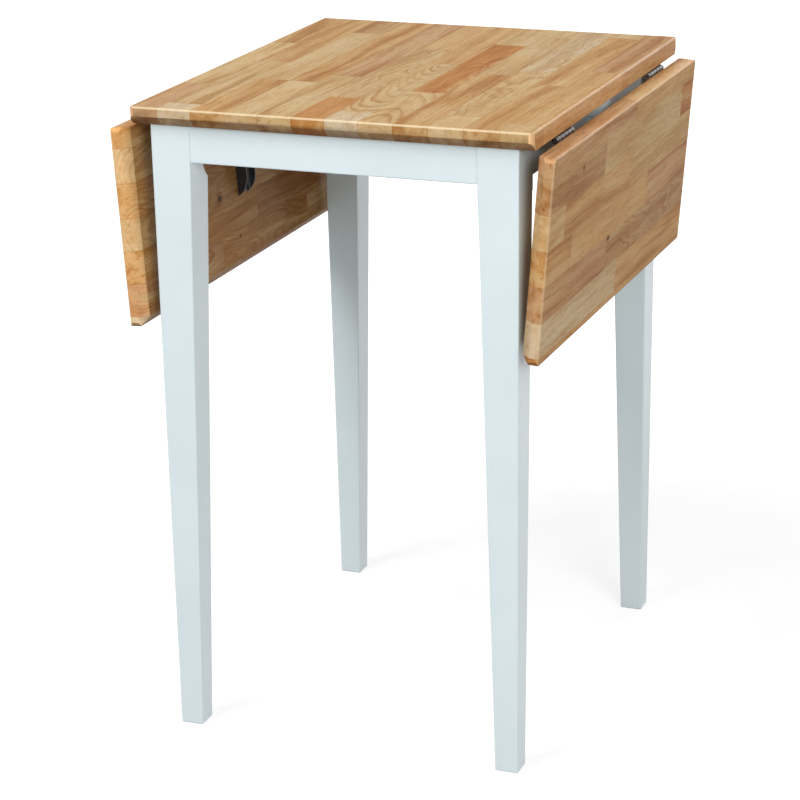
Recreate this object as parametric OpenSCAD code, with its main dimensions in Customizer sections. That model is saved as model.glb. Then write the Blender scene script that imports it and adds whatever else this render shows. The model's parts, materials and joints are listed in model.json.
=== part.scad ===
// Drop-leaf dining table: fixed centre top, two hanging leaves, four tapered legs.
// Origin on the floor under the middle of the top, +X to the right, +Y to the back, +Z up.

/* [Table] */
// Height from the floor to the upper face of the top
table_h = 750; // [650:5:850]
// Width of the fixed centre top, from hinge edge to hinge edge
top_w = 470; // [400:5:620]
// Depth of the top and of both leaves, front to back
top_d = 565; // [500:5:760]
// Width of one drop leaf
leaf_w = 230; // [150:5:300]
// Thickness of the top and of the leaves
board_t = 21; // [18:0.5:28]

/* [Board edges] */
// Height of the bevel under the outer edges
bevel_h = 10; // [4:0.5:12]
// Reach of that bevel under the board
bevel_in = 10; // [4:0.5:14]
// Radius of the eased upper arris
arris_r = 2.5; // [1:0.5:4]
// Chamfer on the lower arris of the hinge edges
ease = 1; // [0.5:0.1:1.5]
// Radius of the board corners seen from above
corner_r = 6; // [1:0.5:8]
// Gap between top and leaf when the leaf is up
leaf_gap = 0.8; // [0.4:0.1:2]

/* [Frame] */
// Distance from the hinge edge of the top to the outer face of a leg
side_overhang = 19.5; // [15:0.5:32]
// Distance from the front edge of the top to the outer face of a leg
front_overhang = 12.5; // [6:0.5:30]
// Width of a square leg at the top
leg_top = 47; // [40:1:56]
// Width of a leg at the floor
leg_foot = 27.5; // [22:0.5:38]
// Distance that the outer faces of a leg run in from the top to the floor
leg_run_in = 4; // [1:0.5:8]
// Radius of the leg arrises
leg_arris = 1.8; // [0.5:0.1:3]
// Chamfer around the foot
foot_chamfer = 1.5; // [0.5:0.1:3]
// Height of the aprons
apron_h = 42; // [40:1:70]
// Thickness of the aprons
apron_t = 18; // [16:0.5:24]
// Distance of the face of the front and back aprons behind the leg face
end_setback = 1.5; // [0.5:0.5:5]
// Distance of the face of the side aprons behind the leg face
side_setback = 4.5; // [3:0.5:8]
// Radius of the lower outer arris of the aprons
apron_arris = 1.6; // [0.5:0.1:3]
// Distance from the apron down to where the leg taper starts
taper_drop = 14; // [5:1:40]

/* [Leg joint] */
// Depth of the flat on the inner corner of the leg
flat_depth = 11; // [8:0.5:14]
// Radius of the run-out at the lower end of the flat
runout_r = 40; // [24:1:60]
// Height above the bottom of the apron where that run-out begins
runout_up = 2; // [1:0.5:14]
// Thickness of the corner bracket
bracket_t = 2; // [1.5:0.25:3]
// Height of the corner bracket
bracket_h = 34; // [28:1:38]
// Distance from the leg flat to the corner bracket
bracket_gap = 15; // [12:0.5:22]
// Length of each wing of the bracket
wing_len = 28; // [22:1:40]
// Depth of the hooked end of a wing
hook_depth = 5; // [3:0.5:7]
// Radius of the hanger bolt
bolt_r = 3; // [2.5:0.5:4]
// Depth of the hanger bolt in the leg
bolt_in_leg = 28; // [20:1:34]

/* [Hinges] */
// Length of a hinge
hinge_len = 60; // [50:1:90]
// Distance from the middle of the table to the middle of a hinge
hinge_y = 180; // [150:1:200]
// Width of a hinge plate from the pin
hinge_plate_w = 19; // [16:0.5:20]
// Thickness of a hinge plate
hinge_plate_t = 1.4; // [1:0.1:2]
// Outer radius of the hinge barrel
barrel_r = 3.5; // [3:0.1:4]
// Radius of the hinge pin
hinge_pin_r = 1.5; // [1:0.1:1.8]
// Number of knuckles, always odd
knuckles = 5; // [3:2:7]

/* [Hanging leaves] */
// Lean of the hanging left leaf past vertical
lean_left = 3.6; // [1:0.1:5]
// Lean of the hanging right leaf past vertical
lean_right = 4.8; // [1:0.1:5]

/* [Leaf stays] */
// Width of the stay block
block_w = 30; // [28:1:40]
// Distance that the stay block stands out from the apron
block_t = 19; // [16:0.5:20]
// Distance of the arm pivot from the apron face
pivot_out = 13; // [11:0.5:13]
// Distance of the arm pivot below the hinge pin
pivot_drop = 26; // [24:0.5:30]
// Radius of the arm pivot pin
pivot_pin_r = 2; // [1.5:0.25:2.5]
// Outer width of the channel arm
arm_w = 26; // [22:1:27]
// Thickness of the arm sheet
arm_t = 1.8; // [1.2:0.1:2.5]
// Distance from the pivot to the tip of the arm
arm_len = 115; // [90:1:125]
// Depth of the arm's side walls
arm_depth = 13; // [10:0.5:14]
// Distance from the pivot to the outer face of the arm's back
arm_back = 12.2; // [11:0.1:12.5]
// Radius of the ear round the pivot
ear_r = 6; // [4.5:0.25:6]
// Radius of the curved nose
nose_r = 28; // [22:1:34]
// Radius of the lock plate
lock_r = 9.5; // [8:0.25:10]
// Distance from the arm pivot to the far end of the release lever
lever_len = 78; // [60:1:85]

/* [Screws] */
// Radius of the hinge screws
hinge_screw_r = 1.6; // [1.2:0.1:2]
// Length of the hinge screws
hinge_screw_len = 14; // [10:0.5:16]
// Radius of the frame screws
frame_screw_r = 2; // [1.5:0.1:2.5]
// Head radius of the frame screws
frame_head_r = 3.9; // [3.2:0.1:4.4]

/* [Hidden] */
fit = 0.05;
snug = 0.02;
joint_gap = 0.3;
over = 1;
fine = 64;
head_h = 2.2;

// Heights and faces that everything else is set from
under_z = table_h - board_t;
leg_x = top_w / 2 - side_overhang;
leg_y = top_d / 2 - front_overhang;
apron_x = leg_x - side_setback;
apron_y = leg_y - end_setback;
apron_z = under_z - apron_h;
taper_z = apron_z - taper_drop;
side_len = 2 * (leg_y - leg_top);
front_len = 2 * (leg_x - leg_top);

// Hinge pin line
pin_x = top_w / 2 + leaf_gap / 2;
pin_z = under_z - barrel_r;
knuckle_len = hinge_len / knuckles;
knuckle_gap = 0.25;
hinge_screws = [-0.36 * hinge_len, 0, 0.36 * hinge_len];
hinge_screw_x = hinge_plate_w - 7;
hinge_head_r = 3.2;

// Stay
pivot_x = apron_x + pivot_out;
pivot_z = pin_z - pivot_drop;
arm_inner = arm_w / 2 - arm_t;
core_r = block_t - pivot_out;
core_w = 2 * (arm_inner - joint_gap);
core_above = 12;
block_step_z = pivot_z + core_above;
// Angle above level at which the tip of the arm carries the raised leaf
raised_tilt = asin((pivot_drop + barrel_r - joint_gap) / norm([arm_len, arm_back]))
    - atan(arm_back / arm_len);
pin_head_r = pivot_pin_r + 1.5;
pin_head_t = 1.2;
notch_w = 3;
notch_depth = 1.6;
root_s = 12;
nose_s = arm_len - sqrt(pow(nose_r, 2) - pow(nose_r - arm_depth, 2));
slot_w = 3.1;
lock_t = 3;
lever_w = 6;
lever_s = 11.8;
lever_n = 6.6;
lever_boss = 2.4;
lever_pin_r = 1.2;
lever_pin_out = 0.6;
tooth_s = lock_r + joint_gap;
tooth_n = -1.2;
tooth_w = 2.8;
neck_s = lever_s + 6;
neck_n = 3;
pad_s = lever_len - 5;
pad_n = -2.2;
pad_w = 2 * (arm_inner - joint_gap);
pad_t = 2;
block_screw_y = block_w / 2 - 5.5;
block_screw_z = under_z - 9;
block_screw_bite = 12;
stay_offsets = [-block_screw_y, block_screw_y];

// Leg joint
bolt_z = under_z - apron_h / 2;
bracket_s = flat_depth - bracket_gap;
wing_y = leg_y - leg_top - (apron_x - apron_t - leg_x + leg_top) + bracket_s * sqrt(2);
wing_x = leg_x - leg_top - (apron_y - apron_t - leg_y + leg_top) + bracket_s * sqrt(2);
side_in_x = apron_x - apron_t;
front_in_y = apron_y - apron_t;
wing_screw_at = [0.3 * wing_len, 0.72 * wing_len];
wing_screw_z = [bolt_z - bracket_h / 4, bolt_z + bracket_h / 4];
wing_screw_len = 13;
washer_r = 7;
washer_t = 1.5;
nut_hub_r = 5.5;
nut_hub_h = 7;
nut_taper = 1.2;
wing_t = 2.2;
wing_reach = 9;
wing_rise = 4;
seat_s = bracket_s - bracket_t / (2 * sqrt(2)) - bracket_t / 2;
bolt_tail = 5;
bolt_len = bolt_in_leg + bracket_gap + bracket_t + washer_t + nut_hub_h + bolt_tail;

// Screws through the aprons into the top
counterbore = 16;
apron_screw_bite = 13;
apron_screw_len = apron_h - counterbore + apron_screw_bite;
front_screw_x = 0.29 * front_len;
side_screw_y = 0.26 * side_len;

wood = [0.82, 0.62, 0.38];
paint = [0.93, 0.94, 0.95];
bronze = [0.16, 0.11, 0.09];
black_steel = [0.07, 0.07, 0.08];
zinc = [0.68, 0.69, 0.7];

// Outline of a board seen along its long edge; a bevelled end has the deep bevel
module edge_outline(len, near_bevel, far_bevel) {
    near = near_bevel ? [bevel_in, bevel_h] : [ease, ease];
    far = far_bevel ? [bevel_in, bevel_h] : [ease, ease];
    polygon([
        [near[0], 0], [len - far[0], 0], [len, far[1]], [len, board_t - arris_r],
        [len - arris_r, board_t], [arris_r, board_t], [0, board_t - arris_r], [0, near[1]]
    ]);
    for (x = [arris_r, len - arris_r])
        translate([x, board_t - arris_r])
            circle(r = arris_r, $fn = fine);
}

// Rectangle with round corners, from x = 0 to w and centred on y
module round_plan(w, d, r) {
    translate([r, -d / 2])
        square([w - 2 * r, d]);
    translate([0, -d / 2 + r])
        square([w, d - 2 * r]);
    for (x = [r, w - r], y = [-d / 2 + r, d / 2 - r])
        translate([x, y])
            circle(r = r, $fn = fine);
}

// Board from x = 0 to w, centred on y, its underside at z = 0
module board(w, far_bevel) {
    intersection() {
        translate([0, top_d / 2, 0])
            rotate([90, 0, 0])
                linear_extrude(top_d)
                    edge_outline(w, false, far_bevel);
        translate([0, -top_d / 2, 0])
            rotate([90, 0, 90])
                linear_extrude(w)
                    edge_outline(top_d, true, true);
        linear_extrude(board_t)
            round_plan(w, top_d, corner_r);
    }
}

// Screw along +Z with its head's seat at z = 0 and the shank above
module pan_screw(r, head_r, len) {
    translate([0, 0, -head_h])
        cylinder(r1 = head_r * 0.7, r2 = head_r, h = head_h * 0.55, $fn = 32);
    translate([0, 0, -head_h * 0.45])
        cylinder(r = head_r, h = head_h * 0.45, $fn = 32);
    cylinder(r = r, h = len - 1.5 * r, $fn = 24);
    translate([0, 0, len - 1.5 * r])
        cylinder(r1 = r, r2 = 0.3, h = 1.5 * r, $fn = 24);
}

// Countersunk screw along +Z, its head flush with z = 0
module flat_screw(r, head_r, sink, len) {
    cylinder(r1 = head_r, r2 = r, h = sink, $fn = 32);
    translate([0, 0, sink])
        cylinder(r = r, h = len - sink - 1.5 * r, $fn = 24);
    translate([0, 0, len - 1.5 * r])
        cylinder(r1 = r, r2 = 0.3, h = 1.5 * r, $fn = 24);
}

// Hole for that screw
module flat_screw_hole(r, head_r, sink, len) {
    translate([0, 0, -fit])
        cylinder(r1 = head_r + 2 * fit, r2 = r + fit, h = sink + fit, $fn = 32);
    cylinder(r = r + fit, h = len + over, $fn = 24);
}

// Copies of the right-hand side onto the left
module on_side(side) {
    if (side > 0)
        children();
    else
        mirror([1, 0, 0])
            children();
}

// Turns a piece drawn in the raised position to where the leaf hangs
module hung(x, z, lean) {
    translate([x, 0, z])
        rotate([0, 90 + lean, 0])
            children();
}

// Centre top
module centre_top() {
    color(wood)
        difference() {
            translate([-top_w / 2, 0, under_z])
                board(top_w, false);
            for (side = [-1, 1], end = [-1, 1], y = hinge_screws)
                translate([side * (pin_x - hinge_screw_x), end * hinge_y + y, under_z - over])
                    cylinder(r = hinge_screw_r + fit, h = hinge_screw_len - hinge_plate_t + 2 * over, $fn = 24);
            apron_screw_places()
                translate([0, 0, under_z - over])
                    cylinder(r = frame_screw_r + fit, h = apron_screw_bite + 2 * over, $fn = 24);
        }
}

// Leaf in the raised position, the hinge pin at the origin
module leaf_board() {
    difference() {
        translate([leaf_gap / 2, 0, barrel_r])
            board(leaf_w, true);
        for (end = [-1, 1], y = hinge_screws)
            translate([hinge_screw_x, end * hinge_y + y, barrel_r - over])
                cylinder(r = hinge_screw_r + fit, h = hinge_screw_len - hinge_plate_t + 2 * over, $fn = 24);
    }
}

module left_leaf() {
    color(wood)
        on_side(-1)
            hung(pin_x, pin_z, lean_left)
                leaf_board();
}

module right_leaf() {
    color(wood)
        hung(pin_x, pin_z, lean_right)
            leaf_board();
}

// Outline of a leg seen from the front or side, the top of its outer face at x = 0
module leg_outline() {
    polygon([
        [-leg_run_in - foot_chamfer, 0], [-leg_run_in, foot_chamfer], [0, under_z], [-leg_top, under_z],
        [-leg_top, taper_z], [-leg_run_in - leg_foot, foot_chamfer], [foot_chamfer - leg_run_in - leg_foot, 0]
    ]);
}

// Cutter that rounds an arris running up from the origin, the wood towards -X and -Y
module arris_cutter(len) {
    difference() {
        translate([-leg_arris, -leg_arris, -over])
            cube([leg_arris + over, leg_arris + over, len + 2 * over]);
        translate([-leg_arris, -leg_arris, -2 * over])
            cylinder(r = leg_arris, h = len + 4 * over, $fn = 32);
    }
}

// Cutters of the four arrises; in_x and in_y are 1 for an inner face of the leg and 0 for an outer one
module leg_arrises() {
    slope = [leg_run_in / under_z, (leg_run_in + leg_foot - leg_top) / taper_z];
    for (in_x = [0, 1], in_y = [0, 1])
        translate([-leg_run_in - in_x * leg_foot, -leg_run_in - in_y * leg_foot, 0])
            rotate([-atan(slope[in_y] * cos(atan(slope[in_x]))), atan(slope[in_x]), 0])
                mirror([in_x, 0, 0])
                    mirror([0, in_y, 0])
                        arris_cutter(in_x + in_y > 0 ? taper_z : under_z);
}

// Leg at the back right, the top of its outer corner over the origin
module leg() {
    flat_z = apron_z + runout_up;
    difference() {
        intersection() {
            rotate([90, 0, 0])
                linear_extrude(leg_top)
                    leg_outline();
            rotate([90, 0, 90])
                translate([0, 0, -leg_top])
                    linear_extrude(leg_top)
                        leg_outline();
        }
        leg_arrises();
        translate([-leg_top, -leg_top, 0])
            rotate([0, 0, 45]) {
                translate([-leg_top, -leg_top, flat_z])
                    cube([leg_top + flat_depth, 2 * leg_top, under_z - flat_z + over]);
                translate([flat_depth - runout_r, leg_top, flat_z])
                    rotate([90, 0, 0])
                        cylinder(r = runout_r, h = 2 * leg_top, $fn = fine);
                translate([flat_depth - over, 0, bolt_z])
                    rotate([0, 90, 0])
                        cylinder(r = bolt_r + fit, h = bolt_in_leg + over, $fn = 32);
            }
    }
}

module leg_at(side, end) {
    color(paint)
        mirror([side > 0 ? 0 : 1, 0, 0])
            mirror([0, end > 0 ? 0 : 1, 0])
                translate([leg_x, leg_y, 0])
                    leg();
}

// Apron along X, centred, its outer face at y = 0 and its body towards -Y
module apron_bar(len) {
    rotate([90, 0, 90])
        translate([0, 0, -len / 2])
            linear_extrude(len) {
                polygon([
                    [-apron_t, 0], [-apron_arris, 0], [0, apron_arris], [0, apron_h], [-apron_t, apron_h]
                ]);
                translate([-apron_arris, apron_arris])
                    circle(r = apron_arris, $fn = 32);
            }
}

// Places of the screws that hold the aprons to the top
module apron_screw_places() {
    for (x = [-front_screw_x, 0, front_screw_x], end = [-1, 1])
        translate([x, end * (apron_y - apron_t / 2), 0])
            children();
    for (y = [-side_screw_y, side_screw_y], side = [-1, 1])
        translate([side * (apron_x - apron_t / 2), y, 0])
            children();
}

// Counterbored holes that the apron screws pass through
module apron_screw_holes() {
    apron_screw_places()
        translate([0, 0, apron_z - over]) {
            cylinder(r = frame_head_r + 0.4, h = counterbore + over, $fn = 32);
            cylinder(r = frame_screw_r + fit, h = apron_h + 2 * over, $fn = 24);
        }
}

module end_apron(end) {
    color(paint)
        difference() {
            mirror([0, end > 0 ? 0 : 1, 0])
                translate([0, apron_y, apron_z])
                    apron_bar(front_len);
            apron_screw_holes();
            corners()
                bracket_recess();
        }
}

module side_apron(side) {
    color(paint)
        difference() {
            mirror([side > 0 ? 0 : 1, 0, 0])
                translate([apron_x, 0, apron_z])
                    rotate([0, 0, -90])
                        apron_bar(side_len);
            apron_screw_holes();
            corners()
                bracket_recess();
            for (y = stay_offsets)
                translate([side * (apron_x - apron_t - over), y, block_screw_z])
                    rotate([0, side * 90, 0])
                        cylinder(r = frame_screw_r + fit, h = apron_t + 2 * over, $fn = 24);
        }
}

module apron_screws() {
    color(zinc)
        apron_screw_places()
            translate([0, 0, apron_z + counterbore])
                pan_screw(frame_screw_r, frame_head_r, apron_screw_len);
}

// The back right corner copied to all four
module corners() {
    for (side = [0, 1], end = [0, 1])
        mirror([side, 0, 0])
            mirror([0, end, 0])
                children();
}

// Straight strip of the bracket seen from above, round at both ends
module strip(from, to, t) {
    run = to - from;
    translate(from)
        rotate(atan2(run[1], run[0]))
            translate([0, -t / 2])
                square([norm(run), t]);
    for (p = [from, to])
        translate(p)
            circle(d = t, $fn = 24);
}

// Bent line of the corner bracket at the back right, seen from above
module bracket_line() {
    side_c = side_in_x - bracket_t / 2;
    end_c = front_in_y - bracket_t / 2;
    strip([side_c + hook_depth, wing_y - wing_len], [side_c, wing_y - wing_len], bracket_t);
    strip([side_c, wing_y - wing_len], [side_c, wing_y], bracket_t);
    strip([side_c, wing_y], [wing_x, end_c], bracket_t);
    strip([wing_x, end_c], [wing_x - wing_len, end_c], bracket_t);
    strip([wing_x - wing_len, end_c], [wing_x - wing_len, end_c + hook_depth], bracket_t);
}

// Kerfs that take the hooked ends of the wings, and the holes of the wing screws
module bracket_recess() {
    kerf = bracket_t + 2 * joint_gap;
    depth = over + hook_depth + joint_gap;
    height = bracket_h + 2 * joint_gap;
    translate([side_in_x - over, wing_y - wing_len - kerf / 2, bolt_z - height / 2])
        cube([depth, kerf, height]);
    translate([wing_x - wing_len - kerf / 2, front_in_y - over, bolt_z - height / 2])
        cube([kerf, depth, height]);
    wing_screw_places()
        translate([0, 0, -over])
            cylinder(r = frame_screw_r + fit, h = wing_screw_len - bracket_t + 2 * over, $fn = 24);
}

// Places of the wing screws at the back right, +Z pointing into the wood
module wing_screw_places() {
    for (i = [0, 1]) {
        translate([side_in_x, wing_y - wing_screw_at[i], wing_screw_z[i]])
            rotate([0, 90, 0])
                children();
        translate([wing_x - wing_screw_at[i], front_in_y, wing_screw_z[i]])
            rotate([-90, 0, 0])
                children();
    }
}

// Frame of the hanger bolt at the back right: +X runs along the bolt into the leg
module bolt_frame() {
    translate([leg_x - leg_top, leg_y - leg_top, bolt_z])
        rotate([0, 0, 45])
            children();
}

module bracket_at(side, end) {
    color(zinc)
        mirror([side > 0 ? 0 : 1, 0, 0])
            mirror([0, end > 0 ? 0 : 1, 0])
                difference() {
                    translate([0, 0, bolt_z - bracket_h / 2])
                        linear_extrude(bracket_h)
                            bracket_line();
                    bolt_frame()
                        translate([bracket_s - 4 * bracket_t, 0, 0])
                            rotate([0, 90, 0])
                                cylinder(r = bolt_r + 4 * fit, h = 8 * bracket_t, $fn = 32);
                    wing_screw_places()
                        translate([0, 0, -2 * bracket_t])
                            cylinder(r = frame_screw_r + fit, h = 4 * bracket_t, $fn = 24);
                }
}

module bracket_screws() {
    color(zinc)
        corners()
            wing_screw_places()
                translate([0, 0, -bracket_t])
                    pan_screw(frame_screw_r, frame_head_r, wing_screw_len);
}

module hanger_bolts() {
    color(zinc)
        corners()
            bolt_frame()
                translate([flat_depth + bolt_in_leg, 0, 0])
                    rotate([0, -90, 0]) {
                        cylinder(r1 = 0.4, r2 = bolt_r, h = 2 * bolt_r, $fn = 32);
                        translate([0, 0, 2 * bolt_r])
                            cylinder(r = bolt_r, h = bolt_len - 2 * bolt_r, $fn = 32);
                    }
}

module bolt_washers() {
    color(zinc)
        corners()
            bolt_frame()
                translate([seat_s, 0, 0])
                    rotate([0, -90, 0])
                        difference() {
                            cylinder(r = washer_r, h = washer_t, $fn = 48);
                            translate([0, 0, -over])
                                cylinder(r = bolt_r + 4 * fit, h = washer_t + 2 * over, $fn = 32);
                        }
}

// Wing of the nut seen from the side
module nut_wing() {
    difference() {
        translate([nut_hub_r - 2, 0])
            square([wing_reach + 2, nut_hub_h + wing_rise]);
        translate([nut_hub_r + wing_reach / 2 - 1, -2 * wing_reach / 3])
            circle(r = wing_reach, $fn = 48);
    }
}

module wing_nut() {
    difference() {
        union() {
            cylinder(r1 = nut_hub_r, r2 = nut_hub_r - nut_taper, h = nut_hub_h, $fn = 32);
            for (turn = [20, 200])
                rotate([90, 0, turn])
                    translate([0, 0, -wing_t / 2])
                        linear_extrude(wing_t)
                            nut_wing();
        }
        translate([0, 0, -over])
            cylinder(r = bolt_r + fit, h = nut_hub_h + 2 * over, $fn = 32);
    }
}

module wing_nuts() {
    color(zinc)
        corners()
            bolt_frame()
                translate([seat_s - washer_t, 0, 0])
                    rotate([0, -90, 0])
                        wing_nut();
}

// Knuckles of one hinge half along Y, every second one starting with the given index
module barrel(first) {
    for (i = [first:2:knuckles - 1])
        translate([0, -hinge_len / 2 + (i + 1) * knuckle_len - knuckle_gap, 0])
            rotate([90, 0, 0])
                cylinder(r = barrel_r, h = knuckle_len - 2 * knuckle_gap, $fn = 48);
}

// Hinge half in the raised position, the pin at the origin and the plate towards +X;
// bore is what its pin hole has over the radius of the pin
module hinge_half(first, bore) {
    other = 1 - first;
    difference() {
        union() {
            barrel(first);
            translate([0, -hinge_len / 2 + knuckle_gap, barrel_r - hinge_plate_t])
                cube([hinge_plate_w, hinge_len - 2 * knuckle_gap, hinge_plate_t]);
        }
        for (i = [other:2:knuckles - 1])
            translate([0, -hinge_len / 2 + (i + 1) * knuckle_len + knuckle_gap, 0])
                rotate([90, 0, 0])
                    cylinder(r = barrel_r + joint_gap, h = knuckle_len + 2 * knuckle_gap, $fn = 48);
        translate([0, hinge_len / 2 + over, 0])
            rotate([90, 0, 0])
                cylinder(r = hinge_pin_r + bore, h = hinge_len + 2 * over, $fn = 32);
        for (y = hinge_screws)
            translate([hinge_screw_x, y, barrel_r - hinge_plate_t])
                flat_screw_hole(hinge_screw_r, hinge_head_r, hinge_plate_t - 0.1, hinge_plate_t);
    }
}

module hinge_plate_at(side, end) {
    color(bronze)
        on_side(side)
            translate([pin_x, end * hinge_y, pin_z])
                mirror([1, 0, 0])
                    hinge_half(0, snug);
}

module leaf_plate_at(side, end, lean) {
    color(bronze)
        on_side(side)
            hung(pin_x, pin_z, lean)
                translate([0, end * hinge_y, 0])
                    hinge_half(1, fit);
}

module hinge_pin_at(side, end) {
    color(bronze)
        on_side(side)
            translate([pin_x, end * hinge_y + hinge_len / 2, pin_z])
                rotate([90, 0, 0])
                    cylinder(r = hinge_pin_r, h = hinge_len, $fn = 32);
}

// Screws of one hinge half in the raised position, the pin at the origin
module hinge_half_screws() {
    for (y = hinge_screws)
        translate([hinge_screw_x, y, barrel_r - hinge_plate_t])
            flat_screw(hinge_screw_r, hinge_head_r, hinge_plate_t - 0.1, hinge_screw_len);
}

module top_hinge_screws() {
    color(bronze)
        for (side = [-1, 1], end = [-1, 1])
            on_side(side)
                translate([pin_x, end * hinge_y, pin_z])
                    mirror([1, 0, 0])
                        hinge_half_screws();
}

module leaf_screws_at(side, lean) {
    color(bronze)
        on_side(side)
            hung(pin_x, pin_z, lean)
                for (end = [-1, 1])
                    translate([0, end * hinge_y, 0])
                        hinge_half_screws();
}

// Stay block on the right apron: full width above, a narrow core round the pivot below
module stay_block(side) {
    core_low = pivot_z - core_r;
    color(paint)
        on_side(side)
            difference() {
                union() {
                    translate([apron_x, -block_w / 2, block_step_z])
                        cube([block_t, block_w, under_z - block_step_z]);
                    translate([apron_x, -core_w / 2, core_low])
                        cube([pivot_out, core_w, block_step_z - core_low + over]);
                    translate([pivot_x - over, -core_w / 2, pivot_z])
                        cube([core_r + over, core_w, block_step_z - pivot_z + over]);
                    translate([pivot_x, core_w / 2, pivot_z])
                        rotate([90, 0, 0])
                            cylinder(r = core_r, h = core_w, $fn = fine);
                }
                translate([apron_x - over, -slot_w / 2, core_low - over])
                    cube([block_t + 2 * over, slot_w, lock_r + core_r + over + joint_gap]);
                translate([pivot_x, block_w / 2 + over, pivot_z])
                    rotate([90, 0, 0])
                        cylinder(r = pivot_pin_r + snug, h = block_w + 2 * over, $fn = 32);
                for (y = stay_offsets)
                    translate([apron_x - over, y, block_screw_z])
                        rotate([0, 90, 0])
                            cylinder(r = frame_screw_r + fit, h = block_screw_bite + 2 * over, $fn = 24);
            }
}

module stay_block_screws() {
    color(zinc)
        for (side = [-1, 1], y = stay_offsets)
            on_side(side)
                translate([side_in_x, y, block_screw_z])
                    rotate([0, 90, 0])
                        pan_screw(frame_screw_r, frame_head_r, apron_t + block_screw_bite);
}

// Toothed plate in the slot of the block, its notch where the raised arm locks
module lock_plate(side) {
    color(black_steel)
        on_side(side)
            translate([pivot_x, lock_t / 2, pivot_z])
                rotate([90, 0, 0])
                    linear_extrude(lock_t)
                        difference() {
                            union() {
                                circle(r = lock_r, $fn = fine);
                                translate([-pivot_out, -core_r])
                                    square([pivot_out, 2 * core_r]);
                            }
                            circle(r = pivot_pin_r + snug, $fn = 32);
                            rotate(raised_tilt)
                                translate([lock_r - notch_depth, -notch_w / 2])
                                    square([notch_depth + over, notch_w]);
                        }
}

module stay_pin(side) {
    pin_len = arm_w + 2 * joint_gap;
    color(zinc)
        on_side(side)
            translate([pivot_x, pin_len / 2, pivot_z])
                rotate([90, 0, 0]) {
                    cylinder(r = pivot_pin_r, h = pin_len, $fn = 32);
                    for (z = [-pin_head_t, pin_len])
                        translate([0, 0, z])
                            cylinder(r = pin_head_r, h = pin_head_t, $fn = 32);
                }
}

// Side wall of the channel arm: x runs from the pivot to the tip, y towards the leaf
module arm_wall() {
    low = arm_back - arm_depth;
    difference() {
        union() {
            circle(r = ear_r, $fn = fine);
            polygon([
                [0, -ear_r], [nose_s * 0.72, low], [nose_s, low], [nose_s, arm_back],
                [root_s, arm_back], [-ear_r * 0.2, ear_r * 0.98]
            ]);
            intersection() {
                translate([nose_s, low + nose_r])
                    circle(r = nose_r, $fn = 96);
                translate([nose_s - over, low])
                    square([nose_r + over, arm_depth]);
            }
        }
        circle(r = pivot_pin_r + fit, $fn = 32);
        translate([lever_s, lever_n])
            circle(r = lever_pin_r + snug, $fn = 24);
    }
}

module stay_arm(side, lean) {
    color(black_steel)
        on_side(side)
            hung(pivot_x, pivot_z, lean)
                union() {
                    for (y = [arm_w / 2, -arm_inner])
                        translate([0, y, 0])
                            rotate([90, 0, 0])
                                linear_extrude(arm_t)
                                    arm_wall();
                    translate([root_s, -arm_w / 2, arm_back - arm_t])
                        cube([arm_len - root_s - 3, arm_w, arm_t]);
                }
}

// Release lever seen from the side, in the same frame as the arm wall
module lever_side() {
    difference() {
        union() {
            translate([lever_s, lever_n])
                circle(r = lever_boss, $fn = 48);
            polygon([
                [tooth_s, tooth_n], [tooth_s + tooth_w, tooth_n], [tooth_s + tooth_w + 1, neck_n - 1],
                [neck_s, neck_n], [pad_s, pad_n], [lever_len - 1, pad_n - pad_t], [lever_len, pad_n],
                [pad_s + 1, pad_n + pad_t], [neck_s, lever_n + 1], [lever_s + 0.4, lever_n + 2],
                [lever_s - 2, lever_n], [tooth_s, neck_n]
            ]);
        }
        translate([lever_s, lever_n])
            circle(r = lever_pin_r + fit, $fn = 24);
    }
}

// Release lever: narrow at the tooth, and beyond the neck a plate that fills the channel
module release_lever(side, lean) {
    plate_s = neck_s + 3;
    color(black_steel)
        on_side(side)
            hung(pivot_x, pivot_z, lean) {
                translate([0, lever_w / 2, 0])
                    rotate([90, 0, 0])
                        linear_extrude(lever_w)
                            lever_side();
                intersection() {
                    translate([0, pad_w / 2, 0])
                        rotate([90, 0, 0])
                            linear_extrude(pad_w)
                                lever_side();
                    translate([plate_s, -pad_w, -arm_depth])
                        cube([lever_len, 2 * pad_w, 2 * arm_depth]);
                }
            }
}

module lever_pin(side, lean) {
    color(zinc)
        on_side(side)
            hung(pivot_x, pivot_z, lean)
                translate([lever_s, arm_w / 2 + lever_pin_out, lever_n])
                    rotate([90, 0, 0])
                        cylinder(r = lever_pin_r, h = arm_w + 2 * lever_pin_out, $fn = 24);
}

centre_top();
left_leaf();
right_leaf();
leg_at(-1, -1);  // leg_front_left
leg_at(1, -1);  // leg_front_right
leg_at(-1, 1);  // leg_back_left
leg_at(1, 1);  // leg_back_right
end_apron(-1);  // front_apron
end_apron(1);  // back_apron
side_apron(-1);  // left_apron
side_apron(1);  // right_apron
apron_screws();
bracket_at(-1, -1);  // bracket_front_left
bracket_at(1, -1);  // bracket_front_right
bracket_at(-1, 1);  // bracket_back_left
bracket_at(1, 1);  // bracket_back_right
bracket_screws();
hanger_bolts();
bolt_washers();
wing_nuts();
hinge_plate_at(-1, -1);  // hinge_plate_left_front
hinge_plate_at(-1, 1);  // hinge_plate_left_back
hinge_plate_at(1, -1);  // hinge_plate_right_front
hinge_plate_at(1, 1);  // hinge_plate_right_back
top_hinge_screws();
leaf_plate_at(-1, -1, lean_left);  // leaf_plate_left_front
leaf_plate_at(-1, 1, lean_left);  // leaf_plate_left_back
leaf_plate_at(1, -1, lean_right);  // leaf_plate_right_front
leaf_plate_at(1, 1, lean_right);  // leaf_plate_right_back
leaf_screws_at(-1, lean_left);  // left_leaf_screws
leaf_screws_at(1, lean_right);  // right_leaf_screws
hinge_pin_at(-1, -1);  // hinge_pin_left_front
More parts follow.
